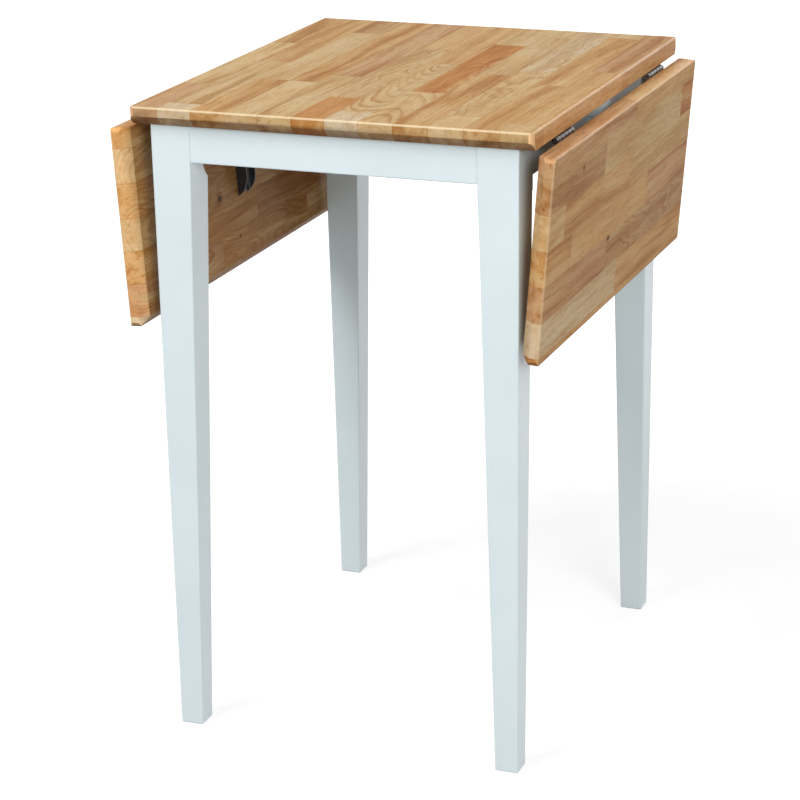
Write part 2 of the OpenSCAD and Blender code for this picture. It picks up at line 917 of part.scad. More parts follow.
hinge_pin_at(-1, 1);  // hinge_pin_left_back
hinge_pin_at(1, -1);  // hinge_pin_right_front
hinge_pin_at(1, 1);  // hinge_pin_right_back
stay_block(-1);  // left_stay_block
stay_block(1);  // right_stay_block
stay_block_screws();
lock_plate(-1);  // left_lock_plate
lock_plate(1);  // right_lock_plate
stay_pin(-1);  // left_stay_pin
stay_pin(1);  // right_stay_pin
stay_arm(-1, lean_left);  // left_stay_arm
stay_arm(1, lean_right);  // right_stay_arm
release_lever(-1, lean_left);  // left_release_lever
release_lever(1, lean_right);  // right_release_lever
lever_pin(-1, lean_left);  // left_lever_pin
lever_pin(1, lean_right);  // right_lever_pin
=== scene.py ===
"""Looks of a small drop-leaf dining table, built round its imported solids.

The fixed top and the two hanging leaves are glued up from short staves of pale rubberwood
under a satin lacquer. Legs, aprons and stay blocks are painted a cool white, the hinges are
dark bronze, the leaf stays black, and the fasteners under the top are zinc plated.
Everything is in metres: +Z up, +X towards the right leaf, +Y towards the back.
"""

import json
import logging
import math
import random
from dataclasses import dataclass, field
from enum import Enum
from typing import Any

import bmesh
import bpy
import numpy as np
from mathutils import Matrix, Vector

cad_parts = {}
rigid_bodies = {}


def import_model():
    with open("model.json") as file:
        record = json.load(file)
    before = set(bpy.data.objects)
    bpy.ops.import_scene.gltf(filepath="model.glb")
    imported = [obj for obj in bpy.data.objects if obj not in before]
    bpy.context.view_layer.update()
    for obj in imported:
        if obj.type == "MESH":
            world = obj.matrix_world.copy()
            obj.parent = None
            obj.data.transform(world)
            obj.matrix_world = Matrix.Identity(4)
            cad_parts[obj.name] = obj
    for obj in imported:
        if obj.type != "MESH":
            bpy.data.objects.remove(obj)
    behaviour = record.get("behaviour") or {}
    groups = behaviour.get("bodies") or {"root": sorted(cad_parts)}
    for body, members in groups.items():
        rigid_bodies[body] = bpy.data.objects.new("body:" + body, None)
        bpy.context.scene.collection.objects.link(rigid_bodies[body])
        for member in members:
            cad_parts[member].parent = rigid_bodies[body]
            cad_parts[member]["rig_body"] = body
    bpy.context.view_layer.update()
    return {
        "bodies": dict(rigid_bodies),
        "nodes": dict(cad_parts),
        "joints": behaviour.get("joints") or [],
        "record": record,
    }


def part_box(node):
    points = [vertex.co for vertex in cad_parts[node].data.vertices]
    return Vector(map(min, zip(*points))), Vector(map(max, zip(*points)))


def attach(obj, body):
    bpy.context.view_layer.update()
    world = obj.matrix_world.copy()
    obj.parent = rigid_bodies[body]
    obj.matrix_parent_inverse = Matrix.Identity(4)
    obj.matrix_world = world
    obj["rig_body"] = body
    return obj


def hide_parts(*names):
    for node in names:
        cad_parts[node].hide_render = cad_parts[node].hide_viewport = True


log = logging.getLogger("dining_table")

Triple = tuple[float, float, float]
Colour = tuple[float, float, float]
Pair = tuple[float, float]
Ramp = tuple[float, ...]
Socket = bpy.types.NodeSocket

WHITE: Colour = (1.0, 1.0, 1.0)
MERGE_GAP = 2e-6
CUT_GAP = 1e-7
ROUNDING = 1e-9
NOISE_MEAN = 0.5


class Side(Enum):
    """The two sides of the table, by the sign of X."""

    LEFT = -1
    RIGHT = 1


class Tone(Enum):
    """Colours that the staves are sorted into, as linear albedo."""

    BLOND = (0.650, 0.540, 0.375)
    STRAW = (0.640, 0.480, 0.268)
    HONEY = (0.615, 0.405, 0.190)
    ROSY = (0.555, 0.350, 0.190)
    TAN = (0.500, 0.318, 0.158)
    RUSSET = (0.545, 0.275, 0.088)


class Figure(Enum):
    """How a stave was sawn, in five numbers.

    They are the contrast, wobble and tilt of its rings, the place of the pith, from 0 beneath the
    stave to 1 beside it, and the strength of its streaks.
    """

    PLAIN = (0.25, 0.20, 0.02, 0.8, 0.55)
    STREAKED = (0.40, 0.30, 0.03, 1.0, 1.0)
    ARCHED = (1.0, 0.45, 0.15, 0.0, 0.4)
    SWIRLED = (1.0, 1.30, 0.10, 0.2, 0.6)


class Run(Enum):
    """The direction in which a painted piece was brushed."""

    ACROSS = (0.06, 1.0, 1.0)
    DEEP = (1.0, 0.06, 1.0)
    UPRIGHT = (1.0, 1.0, 0.06)


class Graph:
    """A short way to write shader nodes: each method adds a node and returns its output."""

    def __init__(self, tree: bpy.types.NodeTree) -> None:
        """Starts on an emptied tree.

        Args:
            tree: The node tree to write into.
        """
        self.tree = tree
        tree.nodes.clear()

    def node(self, kind: str, inputs: dict[Any, Any] | None = None, **settings: Any) -> bpy.types.Node:
        """Adds one node.

        Args:
            kind: The node's type name.
            inputs: Values or sockets, by input name or index.
            **settings: Properties of the node itself.

        Returns:
            The new node.
        """
        made = self.tree.nodes.new(kind)
        for name, value in settings.items():
            setattr(made, name, value)
        for name, value in (inputs or {}).items():
            if isinstance(value, Socket):
                self.tree.links.new(value, made.inputs[name])
            else:
                made.inputs[name].default_value = value
        return made

    def math(self, operation: str, a: Any, b: Any = 0.0, c: Any = 0.0, clamp: bool = False) -> Socket:
        """Adds a Math node.

        Args:
            operation: Name of the operation.
            a: First value or socket.
            b: Second value or socket.
            c: Third value or socket.
            clamp: Keeps the result between 0 and 1.

        Returns:
            The result.
        """
        made = self.node("ShaderNodeMath", {0: a, 1: b, 2: c}, operation=operation, use_clamp=clamp)
        return made.outputs[0]

    def hypot(self, a: Socket, b: Socket) -> Socket:
        """Gives the long side of a right-angled triangle from its two short sides."""
        return self.math("SQRT", self.math("ADD", self.math("MULTIPLY", a, a), self.math("MULTIPLY", b, b)))

    def vector(self, operation: str, a: Any, b: Any = (0.0, 0.0, 0.0)) -> Socket:
        """Adds a Vector Math node on two vectors and returns the resulting vector."""
        return self.node("ShaderNodeVectorMath", {0: a, 1: b}, operation=operation).outputs[0]

    def attribute(self, name: str) -> Socket:
        """Reads a vector attribute of the piece's own mesh."""
        return self.node("ShaderNodeAttribute", attribute_name=name).outputs["Vector"]

    def place(self) -> Socket:
        """Reads the place on the piece in Object coordinates."""
        return self.node("ShaderNodeTexCoord").outputs["Object"]

    def split(self, vector: Socket) -> tuple[Socket, Socket, Socket]:
        """Takes a vector apart into its three numbers."""
        parts = self.node("ShaderNodeSeparateXYZ", {0: vector}).outputs
        return parts[0], parts[1], parts[2]

    def join(self, x: Any, y: Any, z: Any) -> Socket:
        """Puts three numbers together into a vector."""
        return self.node("ShaderNodeCombineXYZ", {0: x, 1: y, 2: z}).outputs[0]

    def dice(self, seed: Socket, output: str) -> Socket:
        """Turns a number into a random one, as "Value", or into three, as "Color"."""
        return self.node("ShaderNodeTexWhiteNoise", {"W": seed}, noise_dimensions="1D").outputs[output]

    def remap(self, value: Socket, low: float, high: float, to_low: float = 0.0,
              to_high: float = 1.0) -> Socket:
        """Maps a range smoothly onto another one and clamps it.

        Args:
            value: The number to map.
            low: Start of the range that is read.
            high: End of the range that is read.
            to_low: Result at the start.
            to_high: Result at the end.

        Returns:
            The mapped number.
        """
        return self.node("ShaderNodeMapRange", {0: value, 1: low, 2: high, 3: to_low, 4: to_high},
                         interpolation_type="SMOOTHSTEP").outputs[0]

    def blend(self, share: Any, a: Any, b: Any, mode: str = "MIX") -> Socket:
        """Mixes two colours.

        Args:
            share: How much of the second colour, from 0 to 1.
            a: First colour or socket.
            b: Second colour or socket.
            mode: Way of mixing.

        Returns:
            The mixed colour.
        """
        made = self.node("ShaderNodeMix", {0: share}, data_type="RGBA", blend_type=mode)
        for name, value in (("A", a), ("B", b)):
            socket = next(s for s in made.inputs if s.name == name and s.type == "RGBA")
            if isinstance(value, Socket):
                self.tree.links.new(value, socket)
            else:
                socket.default_value = (*value, 1.0)
        return next(s for s in made.outputs if s.type == "RGBA")

    def bump(self, height: Socket, depth: float) -> Socket:
        """Turns a height into a normal; depth is in metres."""
        return self.node("ShaderNodeBump", {"Height": height, "Distance": depth, "Strength": 1.0}).outputs[0]

    def seen(self) -> Socket:
        """Tells whether a ray comes from the camera, straight or by way of gloss or glass.

        Returns:
            1 for such a ray and 0 for any other.
        """
        path = self.node("ShaderNodeLightPath").outputs
        return self.math("MAXIMUM", path["Is Camera Ray"],
                         self.math("MAXIMUM", path["Is Glossy Ray"], path["Is Transmission Ray"]))

    def surface(self, inputs: dict[str, Any]) -> None:
        """Ends the tree in a Principled shader with these inputs."""
        shader = self.node("ShaderNodeBsdfPrincipled", inputs)
        self.node("ShaderNodeOutputMaterial", {"Surface": shader.outputs[0]})


def new_material(name: str) -> tuple[bpy.types.Material, Graph]:
    """Makes an empty node material.

    Args:
        name: Name of the material.

    Returns:
        The material and the graph to write it with.
    """
    made = bpy.data.materials.new(name)
    made.use_nodes = True
    return made, Graph(made.node_tree)


@dataclass(frozen=True)
class Pattern:
    """A noise: blobs in a metre, alike every way or along X, Y and Z, and how fine and rough it is."""

    scale: float | Triple
    detail: float = 2.0
    rough: float = 0.5
    warp: float = 0.0

    def read(self, g: Graph, spot: Socket) -> Socket:
        """Reads the noise at a place.

        Args:
            g: The graph to write into.
            spot: The place.

        Returns:
            The grey value, about 0.5 on average.
        """
        even = isinstance(self.scale, float)
        place = spot if even else g.vector("MULTIPLY", spot, self.scale)
        made = g.node("ShaderNodeTexNoise", {"Vector": place, "Scale": self.scale if even else 1.0,
                                             "Detail": self.detail, "Roughness": self.rough,
                                             "Distortion": self.warp})
        return made.outputs[0]


@dataclass(frozen=True)
class StaveWood:
    """Satin-lacquered rubberwood that takes each stave's tone and figure from the board's attributes.

    Lengths are in metres. A Pair is a factor and what is added to it. A Ramp is the start and end
    of the range that is read, and then the results there.
    """

    name: str = "rubberwood_staves"
    gloss: Ramp = (0.3, 0.8, 0.47, 0.56)
    pore_gloss: float = 0.10
    coat: float = 0.16
    coat_roughness: float = 0.2
    coat_ior: float = 1.5
    specular: float = 0.0
    relief_depth: float = 0.00005
    relief_fibre: float = 0.35
    relief_swell: float = 1.2

    late: Colour = (0.74, 0.55, 0.34)
    streak: Colour = (0.76, 0.61, 0.42)
    pale: Colour = (0.68, 0.52, 0.27)
    pore: Colour = (0.55, 0.38, 0.22)
    # Pale colour of the upper arrises: a painted highlight, pale like lacquer rubbed thin.
    wear_and_highlight: Colour = (0.86, 0.72, 0.48)
    knot: Colour = (0.030, 0.013, 0.006)
    halo: Colour = (0.72, 0.50, 0.30)
    cloud_tint: Colour = (0.93, 0.84, 0.68)
    fibre_tint: Colour = (0.86, 0.78, 0.64)
    dash_tint: Colour = (0.80, 0.66, 0.50)
    end_tint: Colour = (0.98, 0.97, 0.96)
    glue: Colour = (0.66, 0.47, 0.32)

    broad: Pattern = Pattern((58.0, 3.2, 58.0))
    narrow: Pattern = Pattern((170.0, 6.0, 170.0), 2.0, 0.55)
    fibre: Pattern = Pattern((560.0, 30.0, 560.0), 2.0, 0.6)
    cloud: Pattern = Pattern((22.0, 10.0, 22.0))
    fleck: Pattern = Pattern((640.0, 85.0, 640.0), 1.0)
    dash: Pattern = Pattern((330.0, 30.0, 330.0), 2.0, 0.6)
    drift: Pattern = Pattern((9.0, 5.0, 9.0), 1.0)
    shake: Pattern = Pattern(1.0)
    swell: Pattern = Pattern(60.0)
    ragged: Pattern = Pattern(420.0, 2.0, 0.6)

    cloud_share: Ramp = (0.36, 0.66, 0.0, 0.8)
    pale_share: Ramp = (0.50, 0.28, 0.0, 0.45)
    broad_share: Ramp = (0.46, 0.66)
    narrow_share: Ramp = (0.50, 0.72, 0.0, 0.9)
    fibre_share: Ramp = (0.35, 0.72, 0.0, 0.55)
    dash_share: Ramp = (0.50, 0.68, 0.0, 0.55)
    pore_share: Ramp = (0.58, 0.72)
    pore_strength: float = 0.42
    # Share of the painted arris highlight.
    arris_highlight_share: float = 0.6
    halo_share: Ramp = (1.0, 2.8, 0.85, 0.0)
    knot_share: Ramp = (0.60, 1.0, 0.96, 0.0)
    knot_ragged: Pair = (0.9, 0.55)
    knot_long: float = 0.85
    knot_least: float = 0.00001
    end_share: float = 0.5
    end_contrast: Pair = (-0.55, 1.0)
    end_fibre: Pair = (-0.75, 1.0)
    glue_share: Pair = (0.35, 0.40)
    glue_line: Ramp = (0.0001, 0.00045, 1.0, 0.0)

    dice_seed: float = 91.7
    dice_shift: Triple = (3.1, 5.3, 2.7)
    slope: Pair = (0.07, -0.035)
    drift_width: float = 0.022
    ring_gap: Pair = (0.0022, 0.0036)
    ring_swell: float = 0.008
    ring_wobble: float = 0.026
    ring_rise: Ramp = (0.20, 0.90)
    ring_fall: Ramp = (0.90, 1.0, 1.0, 0.0)
    ring_curve: float = 1.6
    year_seed: float = 57.0
    year_strength: Pair = (0.75, 0.25)
    pith_under_x: Pair = (0.024, -0.012)
    pith_under_z: Pair = (-0.020, -0.004)
    pith_beside_x: Pair = (0.06, 0.05)
    shake_stretch: Triple = (24.0, 9.0, 24.0)
    shake_shift: Triple = (31.0, 17.0, 23.0)

    def knot_field(self, g: Graph, spot: Socket) -> Socket:
        """Measures how near a place is to the knot of its stave.

        Args:
            g: The graph to write into.
            spot: Place on the board.

        Returns:
            The distance in knot radii, very large where the stave has no knot.
        """
        kx, ky, size = g.split(g.attribute("stave_knot"))
        x, y, _ = g.split(spot)
        ragged = g.math("MULTIPLY_ADD", self.ragged.read(g, spot), *self.knot_ragged)
        dx = g.math("SUBTRACT", x, kx)
        dy = g.math("MULTIPLY", g.math("SUBTRACT", y, ky), self.knot_long)
        return g.math("DIVIDE", g.math("MULTIPLY", g.hypot(dx, dy), ragged),
                      g.math("MAXIMUM", size, self.knot_least))

    def rings(self, g: Graph, spot: Socket, dice: Socket, figure: Socket, knot: Socket) -> Socket:
        """Draws the growth rings of one stave.

        Args:
            g: The graph to write into.
            spot: Place from the middle of the stave.
            dice: Three random numbers of the stave.
            figure: Contrast, wobble and tilt of the stave.
            knot: Distance to the knot in knot radii.

        Returns:
            0 in early wood and up to 1 on the dark line of the late wood.
        """
        x, y, z = g.split(spot)
        first, second, third = g.split(dice)
        _, wobble, tilt = g.split(figure)
        beside = g.split(g.attribute("stave_cut"))[0]
        under_x = g.math("MULTIPLY_ADD", first, *self.pith_under_x)
        under_z = g.math("MULTIPLY_ADD", second, *self.pith_under_z)
        far_x = g.math("MULTIPLY_ADD", third, *self.pith_beside_x)
        pith_x = g.math("MULTIPLY_ADD", beside, g.math("SUBTRACT", far_x, under_x), under_x)
        pith_z = g.math("MULTIPLY_ADD", tilt, y, under_z)
        reach = g.hypot(g.math("SUBTRACT", x, pith_x), g.math("SUBTRACT", z, pith_z))
        shaken = g.vector("ADD", g.vector("MULTIPLY", spot, self.shake_stretch),
                          g.vector("MULTIPLY", dice, self.shake_shift))
        shake = g.math("SUBTRACT", self.shake.read(g, shaken), NOISE_MEAN)
        bent = g.math("MULTIPLY_ADD", g.math("MULTIPLY", shake, wobble), self.ring_wobble, reach)
        swell = g.math("DIVIDE", self.ring_swell, g.math("MULTIPLY_ADD", knot, knot, 1.0))
        gap = g.math("MULTIPLY_ADD", second, *self.ring_gap)
        count = g.math("DIVIDE", g.math("ADD", bent, swell), gap)
        phase = g.math("FRACT", count)
        age = g.math("ADD", g.math("FLOOR", count), g.math("MULTIPLY", first, self.year_seed))
        year = g.dice(age, "Value")
        strong = g.math("MULTIPLY_ADD", year, *self.year_strength)
        rise = g.math("POWER", g.remap(phase, *self.ring_rise), self.ring_curve)
        return g.math("MULTIPLY", strong, g.math("MULTIPLY", rise, g.remap(phase, *self.ring_fall)))

    def joints(self, g: Graph, spot: Socket, low: Socket, high: Socket) -> Socket:
        """Draws the thin glue line round each stave.

        Args:
            g: The graph to write into.
            spot: Place on the board.
            low: Lowest corner of the stave.
            high: Highest corner of the stave.

        Returns:
            1 on the line and 0 elsewhere.
        """
        ax, ay, _ = g.split(g.vector("SUBTRACT", spot, low))
        bx, by, _ = g.split(g.vector("SUBTRACT", high, spot))
        nearest = g.math("MINIMUM", g.math("MINIMUM", ax, bx), g.math("MINIMUM", ay, by))
        return g.remap(nearest, *self.glue_line)

    def places(self, g: Graph, spot: Socket, low: Socket, high: Socket, dice: Socket
               ) -> tuple[Socket, Socket, Socket]:
        """Moves the place on the board to where the stave was in its own tree.

        Args:
            g: The graph to write into.
            spot: Place on the board.
            low: Lowest corner of the stave.
            high: Highest corner of the stave.
            dice: Three random numbers of the stave.

        Returns:
            The place from the middle of the stave, that place moved at random, and the latter with
            a grain that drifts sideways.
        """
        middle = g.vector("MULTIPLY", g.vector("ADD", low, high), (0.5, 0.5, 0.0))
        lx, ly, lz = g.split(g.vector("SUBTRACT", spot, middle))
        slope = g.math("MULTIPLY_ADD", g.split(dice)[1], *self.slope)
        straight = g.join(g.math("MULTIPLY_ADD", slope, ly, lx), ly, lz)
        loose = g.vector("ADD", straight, g.vector("MULTIPLY", dice, self.dice_shift))
        drift = g.math("SUBTRACT", self.drift.read(g, loose), NOISE_MEAN)
        flow = g.vector("ADD", loose, g.join(g.math("MULTIPLY", drift, self.drift_width), 0.0, 0.0))
        return straight, loose, flow

    def make(self) -> bpy.types.Material:
        """Writes the material.

        Returns:
            The finished material.
        """
        material, g = new_material(self.name)
        # The tone attribute already holds each face's painted light and shade.
        spot, tone, figure = g.attribute("board_co"), g.attribute("stave_tone_and_shade"), g.attribute("stave_figure")
        low, high = g.attribute("stave_low"), g.attribute("stave_high")
        _, streaky, painted_arris_highlight = g.split(g.attribute("stave_cut"))
        ended = g.split(high)[2]
        dice = g.dice(g.math("MULTIPLY", g.split(low)[2], self.dice_seed), "Color")
        straight, loose, flow = self.places(g, spot, low, high, dice)
        knot = self.knot_field(g, spot)
        joint = self.joints(g, spot, low, high)
        rings = self.rings(g, straight, dice, figure, knot)
        contrast = g.math("MULTIPLY", g.split(figure)[0], g.math("MULTIPLY_ADD", ended, *self.end_contrast))
        faced = g.math("MULTIPLY_ADD", ended, *self.end_fibre)
        broad, narrow, fibre = (p.read(g, flow) for p in (self.broad, self.narrow, self.fibre))
        dashes = g.remap(self.dash.read(g, flow), *self.dash_share)
        pores = g.remap(self.fleck.read(g, flow), *self.pore_share)
        glued = g.math("MULTIPLY_ADD", ended, *self.glue_share)

        layers = (
            ("MULTIPLY", self.cloud_tint, g.remap(self.cloud.read(g, loose), *self.cloud_share)),
            ("MIX", self.pale, g.remap(broad, *self.pale_share)),
            ("MULTIPLY", self.late, g.math("MULTIPLY", rings, contrast, clamp=True)),
            ("MULTIPLY", self.streak, g.math("MULTIPLY", g.remap(broad, *self.broad_share), streaky)),
            ("MULTIPLY", self.streak, g.math("MULTIPLY", g.remap(narrow, *self.narrow_share), streaky)),
            ("MULTIPLY", self.fibre_tint, g.math("MULTIPLY", g.remap(fibre, *self.fibre_share), faced)),
            ("MULTIPLY", self.dash_tint, g.math("MULTIPLY", dashes, faced)),
            ("MULTIPLY", self.pore, g.math("MULTIPLY", g.math("MULTIPLY", pores, self.pore_strength), faced)),
            ("MULTIPLY", self.end_tint, g.math("MULTIPLY", ended, self.end_share)),
            # Painted highlight on the upper arrises.
            ("MIX", self.wear_and_highlight, g.math("MULTIPLY", painted_arris_highlight, self.arris_highlight_share)),
            ("MULTIPLY", self.halo, g.remap(knot, *self.halo_share)),
            ("MIX", self.knot, g.remap(knot, *self.knot_share)),
            ("MULTIPLY", self.glue, g.math("MULTIPLY", joint, glued)),
        )
        colour = tone
        for mode, tint, share in layers:
            colour = g.blend(share, colour, tint, mode)

        gloss = g.math("ADD", g.remap(fibre, *self.gloss), g.math("MULTIPLY", pores, self.pore_gloss))
        relief = g.math("SUBTRACT", g.math("MULTIPLY", fibre, self.relief_fibre), g.math("ADD", pores, joint))
        height = g.math("MULTIPLY_ADD", self.swell.read(g, spot), self.relief_swell, relief)
        g.surface({"Base Color": colour, "Roughness": gloss, "Normal": g.bump(height, self.relief_depth),
                   "Specular IOR Level": self.specular, "Coat Weight": self.coat,
                   "Coat Roughness": self.coat_roughness, "Coat IOR": self.coat_ior})
        return material


@dataclass(frozen=True)
class SatinPaint:
    """Cool white satin paint, brushed along the piece over sanded wood."""

    name: str
    run: Run
    colour: Colour = (0.74, 0.85, 0.875)
    shade: Colour = (0.705, 0.815, 0.84)
    fleck: Colour = (0.90, 0.93, 0.95)
    brush: Pattern = Pattern(900.0, 3.0, 0.6)
    stipple: Pattern = Pattern(1100.0)
    cloud: Pattern = Pattern(9.0)
    grain: Pattern = Pattern(320.0, 4.0, 0.65, 0.4)
    shade_share: Ramp = (0.3, 0.75)
    fleck_share: Ramp = (0.62, 0.8, 0.0, 0.25)
    gloss: Ramp = (0.3, 0.75, 0.30, 0.40)
    brush_relief: float = 0.7
    stipple_relief: float = 0.3
    grain_relief: float = 0.8
    relief_depth: float = 0.00007
    specular: float = 0.5
    coat: float = 0.1
    coat_roughness: float = 0.25

    def make(self) -> bpy.types.Material:
        """Writes the material.

        Returns:
            The finished material.
        """
        material, g = new_material(self.name)
        spot = g.place()
        drawn = g.vector("MULTIPLY", spot, self.run.value)
        brush, grain = self.brush.read(g, drawn), self.grain.read(g, drawn)
        toned = g.blend(g.remap(self.cloud.read(g, spot), *self.shade_share), self.colour, self.shade)
        flecked = g.blend(g.remap(grain, *self.fleck_share), toned, self.fleck, "MULTIPLY")
        fine = g.math("ADD", g.math("MULTIPLY", self.stipple.read(g, spot), self.stipple_relief),
                      g.math("MULTIPLY", grain, self.grain_relief))
        height = g.math("ADD", g.math("MULTIPLY", brush, self.brush_relief), fine)
        g.surface({"Base Color": flecked, "Roughness": g.remap(brush, *self.gloss),
                   "Normal": g.bump(height, self.relief_depth), "Specular IOR Level": self.specular,
                   "Coat Weight": self.coat, "Coat Roughness": self.coat_roughness})
        return material


@dataclass(frozen=True)
class MetalFinish:
    """A plated, lacquered or powder-coated steel, with drawn lines that may be rubbed bare."""

    name: str
    colour: Colour
    patch: Colour
    metallic: float
    roughness: float
    peel: Pattern
    peel_depth: float
    scratch: float
    coat: float = 0.0
    bare: Colour = (0.55, 0.48, 0.40)
    cloud: Pattern = Pattern(130.0, 3.0, 0.55)
    lines: Pattern = Pattern((2600.0, 120.0, 2600.0), 3.0, 0.7)
    patch_share: Ramp = (0.32, 0.72)
    bare_from: Pair = (0.60, 0.78)
    dull_from: Pair = (0.3, 0.75)
    dull: Pair = (-0.05, 0.07)
    line_gloss: Ramp = (0.5, 0.8, 0.0, 0.10)
    line_relief: float = 0.25
    coat_roughness: float = 0.3

    def make(self) -> bpy.types.Material:
        """Writes the material.

        Returns:
            The finished material.
        """
        material, g = new_material(self.name)
        spot = g.place()
        cloud, peel, lines = (p.read(g, spot) for p in (self.cloud, self.peel, self.lines))
        toned = g.blend(g.remap(cloud, *self.patch_share), self.colour, self.patch)
        scuffed = g.blend(g.remap(lines, *self.bare_from, 0.0, self.scratch), toned, self.bare)
        gloss = g.math("ADD", g.remap(cloud, *self.dull_from, *(self.roughness + d for d in self.dull)),
                       g.remap(lines, *self.line_gloss))
        height = g.math("ADD", peel, g.math("MULTIPLY", lines, self.line_relief))
        g.surface({"Base Color": scuffed, "Metallic": self.metallic, "Roughness": gloss,
                   "Normal": g.bump(height, self.peel_depth), "Coat Weight": self.coat,
                   "Coat Roughness": self.coat_roughness})
        return material


@dataclass(frozen=True)
class KnuckleBronze:
    """Dark bronze of the hinges, rubbed to bare metal on the rims of the knuckles, the pale rims also being
    painted highlights of the knuckle edges.
    """

    name: str = "dark_bronze_knuckles"
    colour: Colour = (0.010, 0.008, 0.007)
    patch: Colour = (0.028, 0.019, 0.015)
    # Pale bare metal of the rims, which also stands in as a painted highlight.
    bare: Colour = (0.30, 0.25, 0.22)
    first_rim: float = 0.150
    knuckle: float = 0.012
    rim_highlight: Ramp = (0.144, 0.24, 1.0, 0.0)
    blotch: Pattern = Pattern(420.0, 3.0, 0.6)
    scuffs: Pattern = Pattern((900.0, 260.0, 900.0), 3.0, 0.7)
    patch_share: Ramp = (0.36, 0.66)
    rim_highlight_wear: Ramp = (0.30, 0.60, 0.25, 0.9)
    scuff_wear: Ramp = (0.64, 0.80, 0.0, 0.35)
    gloss: Ramp = (0.3, 0.75, 0.36, 0.52)
    bare_metallic: float = 0.7
    relief_depth: float = 0.00006
    specular: float = 0.12

    def make(self) -> bpy.types.Material:
        """Writes the material.

        Returns:
            The finished material.
        """
        material, g = new_material(self.name)
        spot = g.place()
        y = g.split(spot)[1]
        turns = g.math("DIVIDE", g.math("SUBTRACT", g.math("ABSOLUTE", y), self.first_rim), self.knuckle)
        # The pale rim every knuckle-length is rubbed bare metal and a painted highlight of the knuckle edges.
        rim_highlight = g.remap(g.math("FRACT", turns), *self.rim_highlight)
        blotch, scuffs = self.blotch.read(g, spot), self.scuffs.read(g, spot)
        toned = g.blend(g.remap(blotch, *self.patch_share), self.colour, self.patch)
        rubbed = g.math("MULTIPLY", rim_highlight, g.remap(blotch, *self.rim_highlight_wear))
        wear_and_highlight = g.math("MAXIMUM", rubbed, g.remap(scuffs, *self.scuff_wear))
        g.surface({"Base Color": g.blend(wear_and_highlight, toned, self.bare),
                   "Metallic": g.math("MULTIPLY", wear_and_highlight, self.bare_metallic),
                   "Roughness": g.remap(blotch, *self.gloss), "Normal": g.bump(scuffs, self.relief_depth),
                   "Specular IOR Level": self.specular})
        return material


@dataclass(frozen=True)
class PaleFloor:
    """White studio floor that takes a soft shadow, and is clear when looked at from below."""

    name: str = "studio_floor"
    paper: tuple[Colour, Colour] = ((0.37, 0.37, 0.37), (0.39, 0.39, 0.39))
    speck: Pattern = Pattern(14.0)
    speck_share: Ramp = (0.3, 0.7)
    roughness: float = 0.6
    lift: Ramp = (0.5, 1.7, 0.70, 0.92)

    def make(self) -> bpy.types.Material:
        """Writes the material.

        Returns:
            The finished material.
        """
        material, g = new_material(self.name)
        spot = g.place()
        paper = g.blend(g.remap(self.speck.read(g, spot), *self.speck_share), *self.paper)
        matt = g.node("ShaderNodeBsdfDiffuse", {"Color": paper, "Roughness": self.roughness}).outputs[0]
        away = g.node("ShaderNodeVectorMath", {0: spot}, operation="LENGTH").outputs["Value"]
        lift = g.math("MULTIPLY", g.seen(), g.remap(away, *self.lift))
        glow = g.node("ShaderNodeEmission", {"Color": (*WHITE, 1.0), "Strength": lift}).outputs[0]
        both = g.node("ShaderNodeAddShader", {0: matt, 1: glow}).outputs[0]
        below = g.node("ShaderNodeNewGeometry").outputs["Backfacing"]
        clear = g.node("ShaderNodeBsdfTransparent").outputs[0]
        shown = g.node("ShaderNodeMixShader", {0: below, 1: both, 2: clear}).outputs[0]
        g.node("ShaderNodeOutputMaterial", {"Surface": shown})
        return material


def put(name: str, data: bpy.types.ID) -> bpy.types.Object:
    """Adds an object to the scene, at the origin.

    Args:
        name: Name of the object.
        data: Its mesh, lamp or camera.

    Returns:
        The new object.
    """
    made = bpy.data.objects.new(name, data)
    bpy.context.scene.collection.objects.link(made)
    return made


def mesh_of(bm: bmesh.types.BMesh, name: str) -> bpy.types.Mesh:
    """Turns a bmesh into a mesh.

    Args:
        bm: The bmesh, which is freed.
        name: Name of the mesh.

    Returns:
        The new mesh.
    """
    mesh = bpy.data.meshes.new(name)
    bm.to_mesh(mesh)
    bm.free()
    return mesh


def plain_mesh(made: bpy.types.Object) -> bpy.types.Mesh:
    """Works an object's modifiers out into a mesh of its own."""
    return bpy.data.meshes.new_from_object(made.evaluated_get(bpy.context.evaluated_depsgraph_get()))


